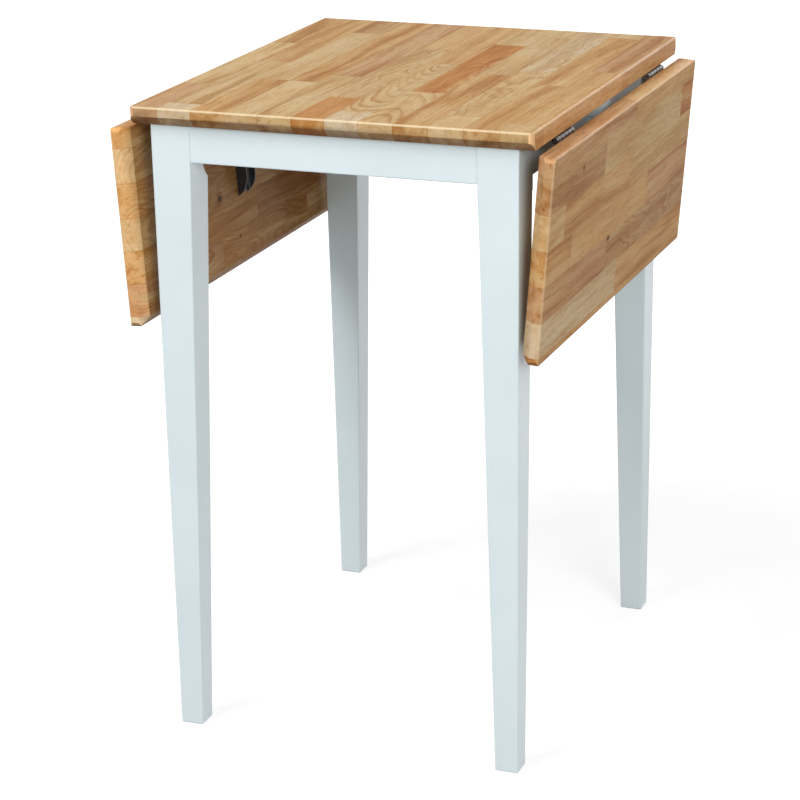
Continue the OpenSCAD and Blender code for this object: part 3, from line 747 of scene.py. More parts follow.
class Workshop:
    """Holds the loaded solids and the finishes, and turns a solid into a finished piece."""

    flat_weight = 100

    def __init__(self, frame: dict[str, Any]) -> None:
        """Makes every finish once.
        """
        self.nodes: dict[str, bpy.types.Object] = frame["nodes"]
        self.wood = StaveWood().make()
        self.paint = {run: SatinPaint(f"white_paint_{run.name.lower()}", run).make() for run in Run}
        self.bronze = MetalFinish("dark_bronze", (0.035, 0.024, 0.019), (0.075, 0.050, 0.038), metallic=0.7,
                                  roughness=0.42, peel=Pattern(1500.0), peel_depth=0.00002, scratch=0.25,
                                  coat=0.1).make()
        self.knuckles = KnuckleBronze().make()
        self.black = MetalFinish("black_powder_coat", (0.012, 0.012, 0.014), (0.020, 0.020, 0.023),
                                 metallic=0.0, roughness=0.52, peel=Pattern(2300.0), peel_depth=0.00005,
                                 scratch=0.04, coat=0.1).make()
        self.zinc = MetalFinish("zinc_plate", (0.60, 0.605, 0.60), (0.50, 0.50, 0.48), metallic=1.0,
                                roughness=0.30, peel=Pattern(900.0), peel_depth=0.00002, scratch=0.3).make()

    def body(self, node: str) -> str:
        """Names the body that a solid belongs to."""
        return self.nodes[node]["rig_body"]

    def merged(self, node: str) -> bmesh.types.BMesh:
        """Copies a solid's mesh with its loose triangles joined up.

        Args:
            node: Name of the solid.

        Returns:
            The joined mesh, for the caller to free.
        """
        bm = bmesh.new()
        bm.from_mesh(self.nodes[node].data)
        bmesh.ops.remove_doubles(bm, verts=bm.verts, dist=MERGE_GAP)
        return bm

    def piece(self, bm: bmesh.types.BMesh, name: str, finish: bpy.types.Material, sharp: float = 32.0
              ) -> bpy.types.Object:
        """Makes an object of a mesh, smooth but for its sharp edges.

        Args:
            bm: The mesh, which is freed.
            name: Name of the piece.
            finish: Its material.
            sharp: Angle in degrees from which an edge stays sharp.

        Returns:
            The new object.
        """
        for face in bm.faces:
            face.smooth = True
        mesh = mesh_of(bm, name)
        mesh.set_sharp_from_angle(angle=math.radians(sharp))
        mesh.materials.clear()
        mesh.materials.append(finish)
        made = put(name, mesh)
        flat = made.modifiers.new("flat_faces", "WEIGHTED_NORMAL")
        flat.keep_sharp, flat.weight = True, self.flat_weight
        made.data = plain_mesh(made)
        made.data.name = name
        made.modifiers.clear()
        return made

    def fit(self, made: bpy.types.Object, slot: str, *nodes: str) -> None:
        """Lets a finished piece stand for its solids.

        Args:
            made: The finished piece.
            slot: Not used.
            *nodes: Solids that it replaces, all of one body.
        """
        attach(made, self.body(nodes[0]))
        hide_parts(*nodes)
        log.info("%s: %d faces, stands for %s", made.name, len(made.data.polygons), ", ".join(nodes))

    def skin(self, node: str, finish: bpy.types.Material, slot: str, sharp: float = 32.0) -> bpy.types.Object:
        """Replaces a solid by its smooth-shaded copy in a finish.

        Args:
            node: Name of the solid.
            finish: Its material.
            slot: Material slot of the record; passed on to fit, which does not use it.
            sharp: Angle in degrees from which an edge stays sharp.

        Returns:
            The finished piece.
        """
        made = self.piece(self.merged(node), f"{node}_finished", finish, sharp)
        self.fit(made, slot, node)
        return made


class PaintedLightAndShade(Enum):
    """Painted light and shade on each kind of face of a board, as a factor on the stave's tone: darker
    bevels, lower edges, undersides and inner faces, lighter sides and hinge edges.
    """

    TOP = (1.0, 1.0, 1.0)
    TOP_END = (0.97, 0.96, 0.97)
    TOP_SIDE = (1.22, 1.14, 1.20)
    TOP_BEVEL = (0.60, 0.51, 0.49)
    TOP_UNDERSIDE = (0.84, 0.76, 0.68)
    LEAF_OUTER = (1.03, 0.97, 0.87)
    LEAF_INNER = (0.72, 0.62, 0.52)
    LEAF_HINGE_EDGE = (1.12, 1.08, 1.10)
    LEAF_LOWER_EDGE = (0.62, 0.47, 0.39)


@dataclass(frozen=True)
class StaveRow:
    """One row of staves: where it starts across the board, and the start, tone and figure of each."""

    start: float
    staves: tuple[tuple[float, Tone, Figure], ...]


@dataclass(frozen=True)
class Knot:
    """A small knot: where it is on the board, and its radius."""

    across: float
    along: float
    radius: float


@dataclass
class StaveBoard:
    """A board glued up from staves that run along Y.

    Across the board, 0 is at the middle for the top and at the pin of the hinge for a leaf. Along
    it, 0 is at the middle and the front edge at minus 282.5 mm. A normal is given in the board's
    own frame, with X across the board, Y to the back and Z out of the face that shows. The fields
    from level on are limits on a part of a normal that tell one kind of face from another.
    """

    node: str
    rows: tuple[StaveRow, ...]
    width: float
    depth: float
    seed: int
    frame: Matrix = field(default_factory=Matrix.Identity)
    knots: tuple[Knot, ...] = ()
    leaf: bool = False
    # ends and corner are painted light: factors that lighten a leaf's end faces and the rounded corners.
    ends: Colour = WHITE
    corner: float = 1.2
    tone_spread: float = 0.035
    slack: float = 0.01
    # Strengths of the painted arris highlight on the leaves and on side arrises.
    leaf_arris_highlight: float = 0.4
    side_arris_highlight: float = 0.35
    sharp: float = 24.0
    level: float = 0.97
    tilted: float = 0.12
    sideways: float = 0.2
    endways: float = 0.8
    facing: float = 0.5
    leaf_endways: float = 0.15
    leaf_downwards: float = 0.05

    def cuts(self, bm: bmesh.types.BMesh) -> None:
        """Cuts the mesh along every glue joint.

        Args:
            bm: The board's mesh in its own frame.
        """
        for row in self.rows[1:]:
            bmesh.ops.bisect_plane(bm, geom=bm.verts[:] + bm.edges[:] + bm.faces[:], dist=CUT_GAP,
                                   plane_co=(row.start, 0, 0), plane_no=(1, 0, 0))
        for index, row in enumerate(self.rows):
            end = self.rows[index + 1].start if index + 1 < len(self.rows) else self.width
            for start, _, _ in row.staves[1:]:
                faces = [f for f in bm.faces if row.start < f.calc_center_median().x < end]
                edges = {e for f in faces for e in f.edges}
                verts = {v for f in faces for v in f.verts}
                bmesh.ops.bisect_plane(bm, geom=[*verts, *edges, *faces], dist=CUT_GAP,
                                       plane_co=(0, start, 0), plane_no=(0, 1, 0))

    def stave_at(self, x: float, y: float) -> tuple[int, int]:
        """Finds the stave that a place belongs to.

        Args:
            x: Place across the board.
            y: Place along the board.

        Returns:
            The row, and the stave in that row.
        """
        row = max((i for i, r in enumerate(self.rows) if r.start <= x + ROUNDING), default=0)
        part = max((i for i, p in enumerate(self.rows[row].staves) if p[0] <= y + ROUNDING), default=0)
        return row, part

    def edges(self, row: int, part: int) -> tuple[float, float, float, float]:
        """Gives the edges of a stave, which lie past the board's own edges so that no glue shows there.

        Args:
            row: The row.
            part: The stave in that row.

        Returns:
            The left, right, front and back edge.
        """
        start, staves = self.rows[row].start, self.rows[row].staves
        left = start if row else start - self.slack
        right = self.rows[row + 1].start if row + 1 < len(self.rows) else self.width + self.slack
        front = staves[part][0] if part else -self.depth / 2 - self.slack
        back = staves[part + 1][0] if part + 1 < len(staves) else self.depth / 2 + self.slack
        return left, right, front, back

    def shade(self, own: Vector) -> Colour:
        """Gives the painted light and shade of a face: lighter on ends, sides and rounded corners, darker on
        a lower edge, bevel, underside or inner side.

        Args:
            own: Normal of the face.

        Returns:
            Factor on the tone of the stave.
        """
        # Rounded corners take a painted highlight.
        rounded = min(abs(own.x), abs(own.y)) > self.sideways
        lit = self.corner if rounded else 1.0
        if self.leaf:
            if own.x > self.leaf_downwards:
                return PaintedLightAndShade.LEAF_LOWER_EDGE.value
            if abs(own.y) > self.leaf_endways:
                return tuple(c * lit for c in self.ends)
            if own.x < -self.facing:
                return PaintedLightAndShade.LEAF_HINGE_EDGE.value
            return (PaintedLightAndShade.LEAF_INNER if own.z < -self.facing else PaintedLightAndShade.LEAF_OUTER).value
        if -self.level < own.z < -self.tilted:
            return PaintedLightAndShade.TOP_BEVEL.value
        if abs(own.x) > self.sideways:
            return tuple(c * lit for c in PaintedLightAndShade.TOP_SIDE.value)
        if own.z < -self.level:
            return PaintedLightAndShade.TOP_UNDERSIDE.value
        return (PaintedLightAndShade.TOP_END if abs(own.y) > self.endways else PaintedLightAndShade.TOP).value

    def arris_highlight(self, own: Vector) -> float:
        """Tells how strongly a face takes the painted arris highlight, which is on the upper arrises alone,
        pale like lacquer rubbed thin.

        Args:
            own: Normal of the face.

        Returns:
            0 for none, up to 1.
        """
        if not self.tilted < own.z < self.level:
            return 0.0
        return (self.leaf_arris_highlight if self.leaf else 1.0) * (1.0 if abs(own.y) > abs(own.x) else self.side_arris_highlight)

    def attributes(self, mesh: bpy.types.Mesh, places: list[Vector]) -> None:
        """Stores on the mesh what the wood reads: places, staves, tones and figures.

        Args:
            mesh: The finished mesh in the row frame.
            places: The vertices in the board's own frame.
        """
        spot = mesh.attributes.new("board_co", "FLOAT_VECTOR", "POINT")
        spot.data.foreach_set("vector", [c for p in places for c in p])
        knots = {self.stave_at(k.across, k.along): (k.across, k.along, k.radius) for k in self.knots}
        values: dict[str, list[float]] = {}
        turn = self.frame.to_3x3().inverted()
        for polygon in mesh.polygons:
            centre = sum((places[v] for v in polygon.vertices), Vector()) / len(polygon.vertices)
            row, part = self.stave_at(centre.x, centre.y)
            left, right, front, back = self.edges(row, part)
            _, tone, figure = self.rows[row].staves[part]
            contrast, wobble, tilt, beside, streaks = figure.value
            own = turn @ polygon.normal
            dice = random.Random(self.seed * 1000 + row * 31 + part * 7)
            shift = 1.0 + dice.uniform(-self.tone_spread, self.tone_spread)
            sign = dice.choice((-1.0, 1.0))
            # The stave tone is multiplied by the painted light and shade of the face, and the third number of
            # stave_cut is the painted arris highlight.
            found = {
                "stave_low": (left, front, dice.random()),
                "stave_high": (right, back, abs(polygon.normal.y)),
                "stave_tone_and_shade": tuple(c * shift * f for c, f in zip(tone.value, self.shade(own))),
                "stave_figure": (contrast, wobble, tilt * sign),
                "stave_cut": (beside, streaks, self.arris_highlight(own)),
                "stave_knot": knots.get((row, part), (0.0, 0.0, 0.0)),
            }
            for name, value in found.items():
                values.setdefault(name, []).extend(value * len(polygon.vertices))
        for name, value in values.items():
            made = mesh.attributes.new(name, "FLOAT_VECTOR", "CORNER")
            made.data.foreach_set("vector", value)

    def build(self, shop: Workshop) -> None:
        """Builds the board and lets it stand for its solid.

        Args:
            shop: The finishes and solids.
        """
        bm = shop.merged(self.node)
        bm.transform(self.frame.inverted())
        self.cuts(bm)
        bm.verts.ensure_lookup_table()
        places = [v.co.copy() for v in bm.verts]
        bm.transform(self.frame)
        made = shop.piece(bm, f"{self.node}_staves", shop.wood, self.sharp)
        self.attributes(made.data, places)
        shop.fit(made, "rubberwood", self.node)


FRONT = -0.2825

TOP_ROWS = (
    StaveRow(-0.235, ((FRONT, Tone.ROSY, Figure.PLAIN), (-0.145, Tone.STRAW, Figure.STREAKED),
                      (0.110, Tone.HONEY, Figure.STREAKED))),
    StaveRow(-0.200, ((FRONT, Tone.BLOND, Figure.PLAIN), (-0.2515, Tone.STRAW, Figure.STREAKED),
                      (-0.0025, Tone.HONEY, Figure.STREAKED))),
    StaveRow(-0.160, ((FRONT, Tone.HONEY, Figure.STREAKED), (-0.100, Tone.STRAW, Figure.PLAIN),
                      (0.195, Tone.TAN, Figure.STREAKED))),
    StaveRow(-0.119, ((FRONT, Tone.STRAW, Figure.PLAIN), (-0.1025, Tone.HONEY, Figure.STREAKED))),
    StaveRow(-0.080, ((FRONT, Tone.STRAW, Figure.STREAKED), (-0.060, Tone.ROSY, Figure.STREAKED))),
    StaveRow(-0.040, ((FRONT, Tone.RUSSET, Figure.PLAIN), (-0.170, Tone.STRAW, Figure.SWIRLED),
                      (0.120, Tone.HONEY, Figure.PLAIN))),
    StaveRow(-0.0015, ((FRONT, Tone.BLOND, Figure.PLAIN), (-0.237, Tone.STRAW, Figure.ARCHED),
                       (0.040, Tone.HONEY, Figure.PLAIN))),
    StaveRow(0.0375, ((FRONT, Tone.STRAW, Figure.ARCHED), (-0.120, Tone.RUSSET, Figure.SWIRLED),
                      (0.170, Tone.STRAW, Figure.PLAIN))),
    StaveRow(0.0775, ((FRONT, Tone.HONEY, Figure.STREAKED), (-0.0025, Tone.STRAW, Figure.STREAKED),
                      (0.230, Tone.STRAW, Figure.PLAIN))),
    StaveRow(0.1175, ((FRONT, Tone.STRAW, Figure.PLAIN), (-0.2225, Tone.STRAW, Figure.SWIRLED),
                      (0.025, Tone.BLOND, Figure.SWIRLED))),
    StaveRow(0.1575, ((FRONT, Tone.HONEY, Figure.STREAKED), (-0.045, Tone.HONEY, Figure.STREAKED),
                      (0.250, Tone.STRAW, Figure.PLAIN))),
    StaveRow(0.1985, ((FRONT, Tone.STRAW, Figure.PLAIN), (-0.247, Tone.HONEY, Figure.PLAIN),
                      (0.045, Tone.ROSY, Figure.STREAKED))),
)

RIGHT_ROWS = (
    StaveRow(0.0, ((FRONT, Tone.ROSY, Figure.STREAKED), (0.0275, Tone.HONEY, Figure.PLAIN))),
    StaveRow(0.022, ((FRONT, Tone.TAN, Figure.STREAKED), (-0.0875, Tone.STRAW, Figure.PLAIN),
                     (0.230, Tone.RUSSET, Figure.STREAKED))),
    StaveRow(0.0615, ((FRONT, Tone.STRAW, Figure.PLAIN), (-0.2275, Tone.HONEY, Figure.STREAKED),
                      (0.0275, Tone.STRAW, Figure.PLAIN))),
    StaveRow(0.1015, ((FRONT, Tone.HONEY, Figure.STREAKED), (-0.195, Tone.HONEY, Figure.PLAIN),
                      (0.1025, Tone.ROSY, Figure.STREAKED))),
    StaveRow(0.1415, ((FRONT, Tone.ROSY, Figure.STREAKED), (-0.055, Tone.TAN, Figure.SWIRLED))),
    StaveRow(0.1815, ((FRONT, Tone.BLOND, Figure.PLAIN), (-0.0025, Tone.HONEY, Figure.STREAKED))),
    StaveRow(0.2215, ((FRONT, Tone.RUSSET, Figure.STREAKED), (-0.165, Tone.HONEY, Figure.PLAIN))),
)

LEFT_ROWS = (
    StaveRow(0.0, ((FRONT, Tone.HONEY, Figure.PLAIN), (0.060, Tone.STRAW, Figure.PLAIN))),
    StaveRow(0.024, ((FRONT, Tone.STRAW, Figure.ARCHED), (-0.150, Tone.TAN, Figure.STREAKED),
                     (0.120, Tone.STRAW, Figure.PLAIN))),
    StaveRow(0.064, ((FRONT, Tone.HONEY, Figure.SWIRLED), (-0.030, Tone.STRAW, Figure.STREAKED),
                     (0.210, Tone.ROSY, Figure.PLAIN))),
    StaveRow(0.104, ((FRONT, Tone.STRAW, Figure.SWIRLED), (0.100, Tone.HONEY, Figure.STREAKED))),
    StaveRow(0.142, ((FRONT, Tone.HONEY, Figure.STREAKED), (0.040, Tone.TAN, Figure.STREAKED))),
    StaveRow(0.180, ((FRONT, Tone.ROSY, Figure.ARCHED), (-0.067, Tone.HONEY, Figure.SWIRLED),
                     (0.190, Tone.STRAW, Figure.PLAIN))),
    StaveRow(0.218, ((FRONT, Tone.BLOND, Figure.PLAIN), (-0.020, Tone.HONEY, Figure.PLAIN))),
)

RIGHT_KNOTS = (Knot(0.034, -0.172, 0.0022), Knot(0.145, -0.048, 0.0034))

LEFT_KNOTS = (Knot(0.1324, -0.065, 0.0042), Knot(0.190, -0.016, 0.0016))


@dataclass
class Boards:
    """The fixed top and the two hanging leaves."""

    leaf_width: float = 0.2304
    depth: float = 0.565
    lean: dict[Side, float] = field(default_factory=lambda: {Side.LEFT: 3.6, Side.RIGHT: 4.8})

    def leaf_frame(self, side: Side) -> Matrix:
        """Gives the frame of a hanging leaf: X down the leaf from the pin, Y to the back, Z outwards.

        Args:
            side: Which leaf.

        Returns:
            The frame in the row frame.
        """
        low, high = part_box(f"hinge_pin_{side.name.lower()}_front")
        pin = Vector(((low.x + high.x) / 2, 0, (low.z + high.z) / 2))
        turn = math.radians(90 + self.lean[side])
        along = Vector((side.value * math.cos(turn), 0, -math.sin(turn)))
        out = Vector((side.value * math.sin(turn), 0, math.cos(turn)))
        frame = Matrix((along, Vector((0, 1, 0)), out)).transposed().to_4x4()
        frame.translation = pin
        return frame

    def build(self, shop: Workshop) -> None:
        """Builds the three boards.

        Args:
            shop: The finishes and solids.
        """
        low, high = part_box("centre_top")
        top = Matrix.Translation((0, 0, low.z))
        StaveBoard("centre_top", TOP_ROWS, high.x, self.depth, seed=3, frame=top).build(shop)
        # ends lightens the end faces of each leaf as painted light.
        StaveBoard("right_leaf", RIGHT_ROWS, self.leaf_width, self.depth, seed=11,
                   frame=self.leaf_frame(Side.RIGHT), knots=RIGHT_KNOTS, leaf=True,
                   ends=(1.07, 0.99, 0.94)).build(shop)
        StaveBoard("left_leaf", LEFT_ROWS, self.leaf_width, self.depth, seed=23,
                   frame=self.leaf_frame(Side.LEFT), knots=LEFT_KNOTS, leaf=True,
                   ends=(1.32, 1.22, 1.16)).build(shop)


@dataclass
class PaintedFrame:
    """Legs, aprons and stay blocks under white paint."""

    legs: tuple[str, ...] = ("leg_front_left", "leg_front_right", "leg_back_left", "leg_back_right")
    across: tuple[str, ...] = ("front_apron", "back_apron")
    deep: tuple[str, ...] = ("left_apron", "right_apron")
    blocks: tuple[str, ...] = ("left_stay_block", "right_stay_block")

    def build(self, shop: Workshop) -> None:
        """Dresses the painted pieces.

        Args:
            shop: The finishes and solids.
        """
        for names, run in ((self.legs, Run.UPRIGHT), (self.across, Run.ACROSS), (self.deep, Run.DEEP),
                           (self.blocks, Run.UPRIGHT)):
            for node in names:
                shop.skin(node, shop.paint[run], "white_painted_wood")


@dataclass
class ScrewKind:
    """A cross-head screw, its head's face at z = 0 and its point towards +Z."""

    name: str
    profile: tuple[Pair, ...]
    recess: float
    depth: float
    steps: int = 28
    slot_share: float = 0.13
    narrowing: Pair = (0.45, 0.6)
    sharp: float = 30.0

    def lathe(self) -> bpy.types.Object:
        """Turns the profile round Z.

        Returns:
            The screw without its recess.
        """
        bm = bmesh.new()
        rings = []
        for radius, height in self.profile:
            if radius == 0.0:
                rings.append([bm.verts.new((0, 0, height))])
                continue
            rings.append([bm.verts.new((radius * math.cos(math.tau * k / self.steps),
                                        radius * math.sin(math.tau * k / self.steps), height))
                          for k in range(self.steps)])
        for a, b in zip(rings, rings[1:]):
            for k in range(self.steps):
                corners = [a[k % len(a)], a[(k + 1) % len(a)], b[(k + 1) % len(b)], b[k % len(b)]]
                bm.faces.new(list(dict.fromkeys(corners)))
        bmesh.ops.recalc_face_normals(bm, faces=bm.faces)
        return put(self.name, mesh_of(bm, self.name))

    def cross(self) -> bpy.types.Object:
        """Makes the tapered cross that is cut from the head.

        Returns:
            The cutter.
        """
        arm, half = self.recess / 2, self.recess * self.slot_share
        plan = [(arm, -half), (arm, half), (half, half), (half, arm), (-half, arm), (-half, half),
                (-arm, half), (-arm, -half), (-half, -half), (-half, -arm), (half, -arm), (half, -half)]
        bm = bmesh.new()
        top = [bm.verts.new((x, y, -self.depth)) for x, y in plan]
        low = [bm.verts.new((x * self.narrowing[0], y * self.narrowing[1], self.depth)) for x, y in plan]
        bm.faces.new(top)
        bm.faces.new(low)
        for k in range(len(plan)):
            n = (k + 1) % len(plan)
            bm.faces.new((top[k], top[n], low[n], low[k]))
        bmesh.ops.recalc_face_normals(bm, faces=bm.faces)
        return put(f"{self.name}_cross", mesh_of(bm, f"{self.name}_cross"))

    def build(self) -> bpy.types.Object:
        """Cuts the cross from the turned screw.

        Returns:
            The finished screw, as a source for instances.
        """
        blank, cutter = self.lathe(), self.cross()
        cut = blank.modifiers.new("recess", "BOOLEAN")
        cut.operation, cut.solver, cut.object = "DIFFERENCE", "EXACT", cutter
        mesh = plain_mesh(blank)
        bpy.data.objects.remove(cutter)
        bpy.data.objects.remove(blank)
        mesh.name = f"{self.name}_source"
        mesh.polygons.foreach_set("use_smooth", [True] * len(mesh.polygons))
        mesh.set_sharp_from_angle(angle=math.radians(self.sharp))
        return put(f"{self.name}_source", mesh)


@dataclass(frozen=True)
class Thread:
    """A threaded shank that ends in a point, in parts of its outer radius where it says share."""

    radius: float
    start: float
    pitch: float
    neck_share: float = 0.78
    root_share: float = 0.74
    flank_share: float = 0.4
    taper_share: float = 1.6
    last_share: float = 0.7
    tip_share: float = 0.1
    tip_height: float = 0.0002

    def profile(self, length: float) -> list[Pair]:
        """Lists the profile of the shank.

        Args:
            length: Height of the point.

        Returns:
            Radius and height of each point of the profile.
        """
        taper = length - self.taper_share * self.radius
        root, flank = self.radius * self.root_share, self.pitch * self.flank_share
        points = [(self.radius * self.neck_share, self.start)]
        turn = self.start + self.pitch
        while turn < taper:
            points += [(root, turn - flank), (self.radius, turn), (root, turn + flank)]
            turn += self.pitch
        return [*points, (self.radius * self.last_share, taper),
                (self.radius * self.tip_share, length - self.tip_height), (0.0, length)]


class ScrewRows:
    """Every screw of the table, instanced on the places that the solids give."""

    end_share = 0.12
    face_slack = 1e-5

    def __init__(self) -> None:
        """Builds the tree that puts a screw on each place."""
        self.tree = self.make_tree()

    @staticmethod
    def make_tree() -> bpy.types.NodeTree:
        """Writes the tree: points with an aim attribute become screws turned that way.

        Returns:
            The Geometry Nodes tree with the inputs Geometry, Screw, Finish and Seed.
        """
        tree = bpy.data.node_groups.new("screws_on_places", "GeometryNodeTree")
        for name, kind in (("Geometry", "NodeSocketGeometry"), ("Screw", "NodeSocketObject"),
                           ("Finish", "NodeSocketMaterial"), ("Seed", "NodeSocketInt")):
            tree.interface.new_socket(name, in_out="INPUT", socket_type=kind)
        tree.interface.new_socket("Geometry", in_out="OUTPUT", socket_type="NodeSocketGeometry")

        def add(kind: str, **settings: Any) -> bpy.types.Node:
            """Adds one node.

            Args:
                kind: The node's type name.
                **settings: Properties of the node.

            Returns:
                The new node.
            """
            made = tree.nodes.new(kind)
            for name, value in settings.items():
                setattr(made, name, value)
            return made

        inlet, outlet = add("NodeGroupInput"), add("NodeGroupOutput")
        aim = add("GeometryNodeInputNamedAttribute", data_type="FLOAT_VECTOR")
        aim.inputs["Name"].default_value = "aim"
        turn = add("FunctionNodeAlignRotationToVector", axis="Z")
        # Inputs 2 and 3 of Random Value are the ends of its float range.
        spin = add("FunctionNodeRandomValue", data_type="FLOAT")
        spin.inputs[2].default_value, spin.inputs[3].default_value = 0.0, math.tau
        euler = add("ShaderNodeCombineXYZ")
        local = add("FunctionNodeEulerToRotation")
        both = add("FunctionNodeRotateRotation", rotation_space="LOCAL")
        source = add("GeometryNodeObjectInfo", transform_space="ORIGINAL")
        place = add("GeometryNodeInstanceOnPoints")
        real = add("GeometryNodeRealizeInstances")
        paint = add("GeometryNodeSetMaterial")
        for start, end in (
            (aim.outputs[0], turn.inputs["Vector"]),
            (inlet.outputs["Seed"], spin.inputs["Seed"]),
            (spin.outputs[1], euler.inputs["Z"]),
            (euler.outputs[0], local.inputs[0]),
            (turn.outputs[0], both.inputs["Rotation"]),
            (local.outputs[0], both.inputs["Rotate By"]),
            (inlet.outputs["Geometry"], place.inputs["Points"]),
            (inlet.outputs["Screw"], source.inputs["Object"]),
            (source.outputs["Geometry"], place.inputs["Instance"]),
            (both.outputs[0], place.inputs["Rotation"]),
            (place.outputs[0], real.inputs[0]),
            (real.outputs[0], paint.inputs["Geometry"]),
            (inlet.outputs["Finish"], paint.inputs["Material"]),
            (paint.outputs[0], outlet.inputs[0]),
        ):
            tree.links.new(start, end)
        return tree

    @staticmethod
    def islands(bm: bmesh.types.BMesh) -> list[np.ndarray]:
        """Parts a mesh into the pieces that hang together.

        Args:
            bm: The mesh.

        Returns:
            The vertices of each piece.
        """
        seen: set[int] = set()
        found = []
        bm.verts.ensure_lookup_table()
        for vert in bm.verts:
            if vert.index in seen:
                continue
            stack, island = [vert], []
            seen.add(vert.index)
            while stack:
                here = stack.pop()
                island.append(here.co[:])
                for edge in here.link_edges:
                    other = edge.other_vert(here)
                    if other.index not in seen:
                        seen.add(other.index)
                        stack.append(other)
            found.append(np.array(island))
        return found

    def aim(self, points: np.ndarray) -> tuple[Vector, Vector]:
        """Finds how one screw sits, from its long axis and from its wider end, which is the head.

        Args:
            points: The vertices of its solid.

        Returns:
            Centre of the head's face and direction to the point.
        """
        middle = (points.min(0) + points.max(0)) / 2
        axis = np.linalg.svd(points - points.mean(0), full_matrices=False)[2][0]
        along = (points - middle) @ axis
        radial = np.linalg.norm(points - middle - np.outer(along, axis), axis=1)
        end = self.end_share * (along.max() - along.min())
        if radial[along > along.max() - end].max() > radial[along < along.min() + end].max():
            axis, along = -axis, -along
        return Vector(points[along < along.min() + self.face_slack].mean(0)), Vector(axis)

    def build(self, shop: Workshop, node: str, screw: bpy.types.Object, finish: bpy.types.Material,
              slot: str, seed: int) -> None:
        """Puts a screw on each place of a solid and replaces the solid.

        Args:
            shop: The finishes and solids.
            node: Name of the solid.
            screw: Source of the instances.
            finish: Material of the screws.
            slot: Material slot of the record; passed on to fit, which does not use it.
            seed: Seed of the turn of each screw's cross.
        """
        bm = shop.merged(node)
        found = [self.aim(points) for points in self.islands(bm)]
        bm.free()
        mesh = bpy.data.meshes.new(f"{node}_places")
        mesh.from_pydata([p for p, _ in found], [], [])
        aim = mesh.attributes.new("aim", "FLOAT_VECTOR", "POINT")
        aim.data.foreach_set("vector", [c for _, a in found for c in a])
        carrier = put(f"{node}_places", mesh)
        modifier = carrier.modifiers.new("screws", "NODES")
        modifier.node_group = self.tree
        sockets = {i.name: i.identifier for i in self.tree.interface.items_tree if i.in_out == "INPUT"}
        for name, value in (("Screw", screw), ("Finish", finish), ("Seed", seed)):
            modifier[sockets[name]] = value
        plain = plain_mesh(carrier)
        bpy.data.objects.remove(carrier)
        plain.name = f"{node}_finished"
        shop.fit(put(f"{node}_finished", plain), slot, node)


@dataclass
class Fasteners:
    """Countersunk hinge screws, and the pan-head wood screws of the frame with their lengths."""

    hinge_nodes: tuple[str, ...] = ("top_hinge_screws", "left_leaf_screws", "right_leaf_screws")
    frame_nodes: tuple[tuple[str, float], ...] = (("apron_screws", 0.0412), ("bracket_screws", 0.0152),
                                                  ("stay_block_screws", 0.0322))
    flat_head: tuple[Pair, ...] = ((0.0, 0.0), (0.0031, 0.0), (0.0032, 0.0001))
    flat_thread: Thread = Thread(0.0016, 0.0013, 0.0013)
    flat_length: float = 0.014
    flat_recess: Pair = (0.0036, 0.0011)
    pan_head: tuple[Pair, ...] = ((0.0, 0.0), (0.0022, 0.00005), (0.0031, 0.0004), (0.0037, 0.0011),
                                  (0.0039, 0.0017), (0.0038, 0.0022))
    pan_thread: Thread = Thread(0.002, 0.0022, 0.0018)
    pan_recess: Pair = (0.0042, 0.0016)
    hinge_seed: int = 1
    frame_seed: int = 11

    def build(self, shop: Workshop) -> None:
        """Builds all the screws.

        Args:
            shop: The finishes and solids.
        """
        rows = ScrewRows()
        flat = ScrewKind("flat_screw", (*self.flat_head, *self.flat_thread.profile(self.flat_length)),
                         *self.flat_recess).build()
        for index, node in enumerate(self.hinge_nodes):
            rows.build(shop, node, flat, shop.bronze, "bronzed_steel", self.hinge_seed + index)
        bpy.data.objects.remove(flat)
        for index, (node, length) in enumerate(self.frame_nodes):
            pan = ScrewKind("pan_screw", (*self.pan_head, *self.pan_thread.profile(length)),
                            *self.pan_recess).build()
            rows.build(shop, node, pan, shop.zinc, "zinc_steel", self.frame_seed + index)
            bpy.data.objects.remove(pan)


@dataclass
class Hinges:
    """The four butt hinges."""

    sides: tuple[str, ...] = ("left", "right")
    ends: tuple[str, ...] = ("front", "back")

    def build(self, shop: Workshop) -> None:
        """Dresses plates and pins.

        Args:
            shop: The finishes and solids.
        """
        for side in self.sides:
            for end in self.ends:
                for part in ("hinge_plate", "leaf_plate"):
                    shop.skin(f"{part}_{side}_{end}", shop.knuckles, "bronzed_steel")
                shop.skin(f"hinge_pin_{side}_{end}", shop.bronze, "bronzed_steel")


@dataclass
class LeafStays:
    """Folding stays: black arm, lock plate and lever on zinc pins."""

    sides: tuple[str, ...] = ("left", "right")

    def build(self, shop: Workshop) -> None:
        """Dresses the stays.

        Args:
            shop: The finishes and solids.
        """
        for side in self.sides:
            for part in ("stay_arm", "lock_plate", "release_lever"):
                shop.skin(f"{side}_{part}", shop.black, "black_steel")
            for part in ("stay_pin", "lever_pin"):
                shop.skin(f"{side}_{part}", shop.zinc, "zinc_steel")


@dataclass
class CornerJoints:
    """Brackets, hanger bolts, washers and wing nuts behind the legs."""

    nodes: tuple[str, ...] = ("bracket_front_left", "bracket_front_right", "bracket_back_left",
                              "bracket_back_right", "hanger_bolts", "bolt_washers", "wing_nuts")

    def build(self, shop: Workshop) -> None:
        """Dresses the corner joints.

        Args:
            shop: The finishes and solids.
        """
        for node in self.nodes:
            shop.skin(node, shop.zinc, "zinc_steel")


@dataclass
class Lamp:
    """A soft square lamp that looks at a point."""

    name: str
    place: Triple
    size: float
    power: float
    target: Triple = (0.0, 0.0, 0.45)
    colour: Colour = WHITE

    def build(self) -> None:
        """Hangs the lamp."""
        data = bpy.data.lights.new(self.name, "AREA")
        data.shape, data.size, data.energy, data.color = "SQUARE", self.size, self.power, self.colour
        lamp = put(self.name, data)
        lamp.location = self.place
        lamp.rotation_euler = (Vector(self.target) - Vector(self.place)).to_track_quat("-Z", "Y").to_euler()


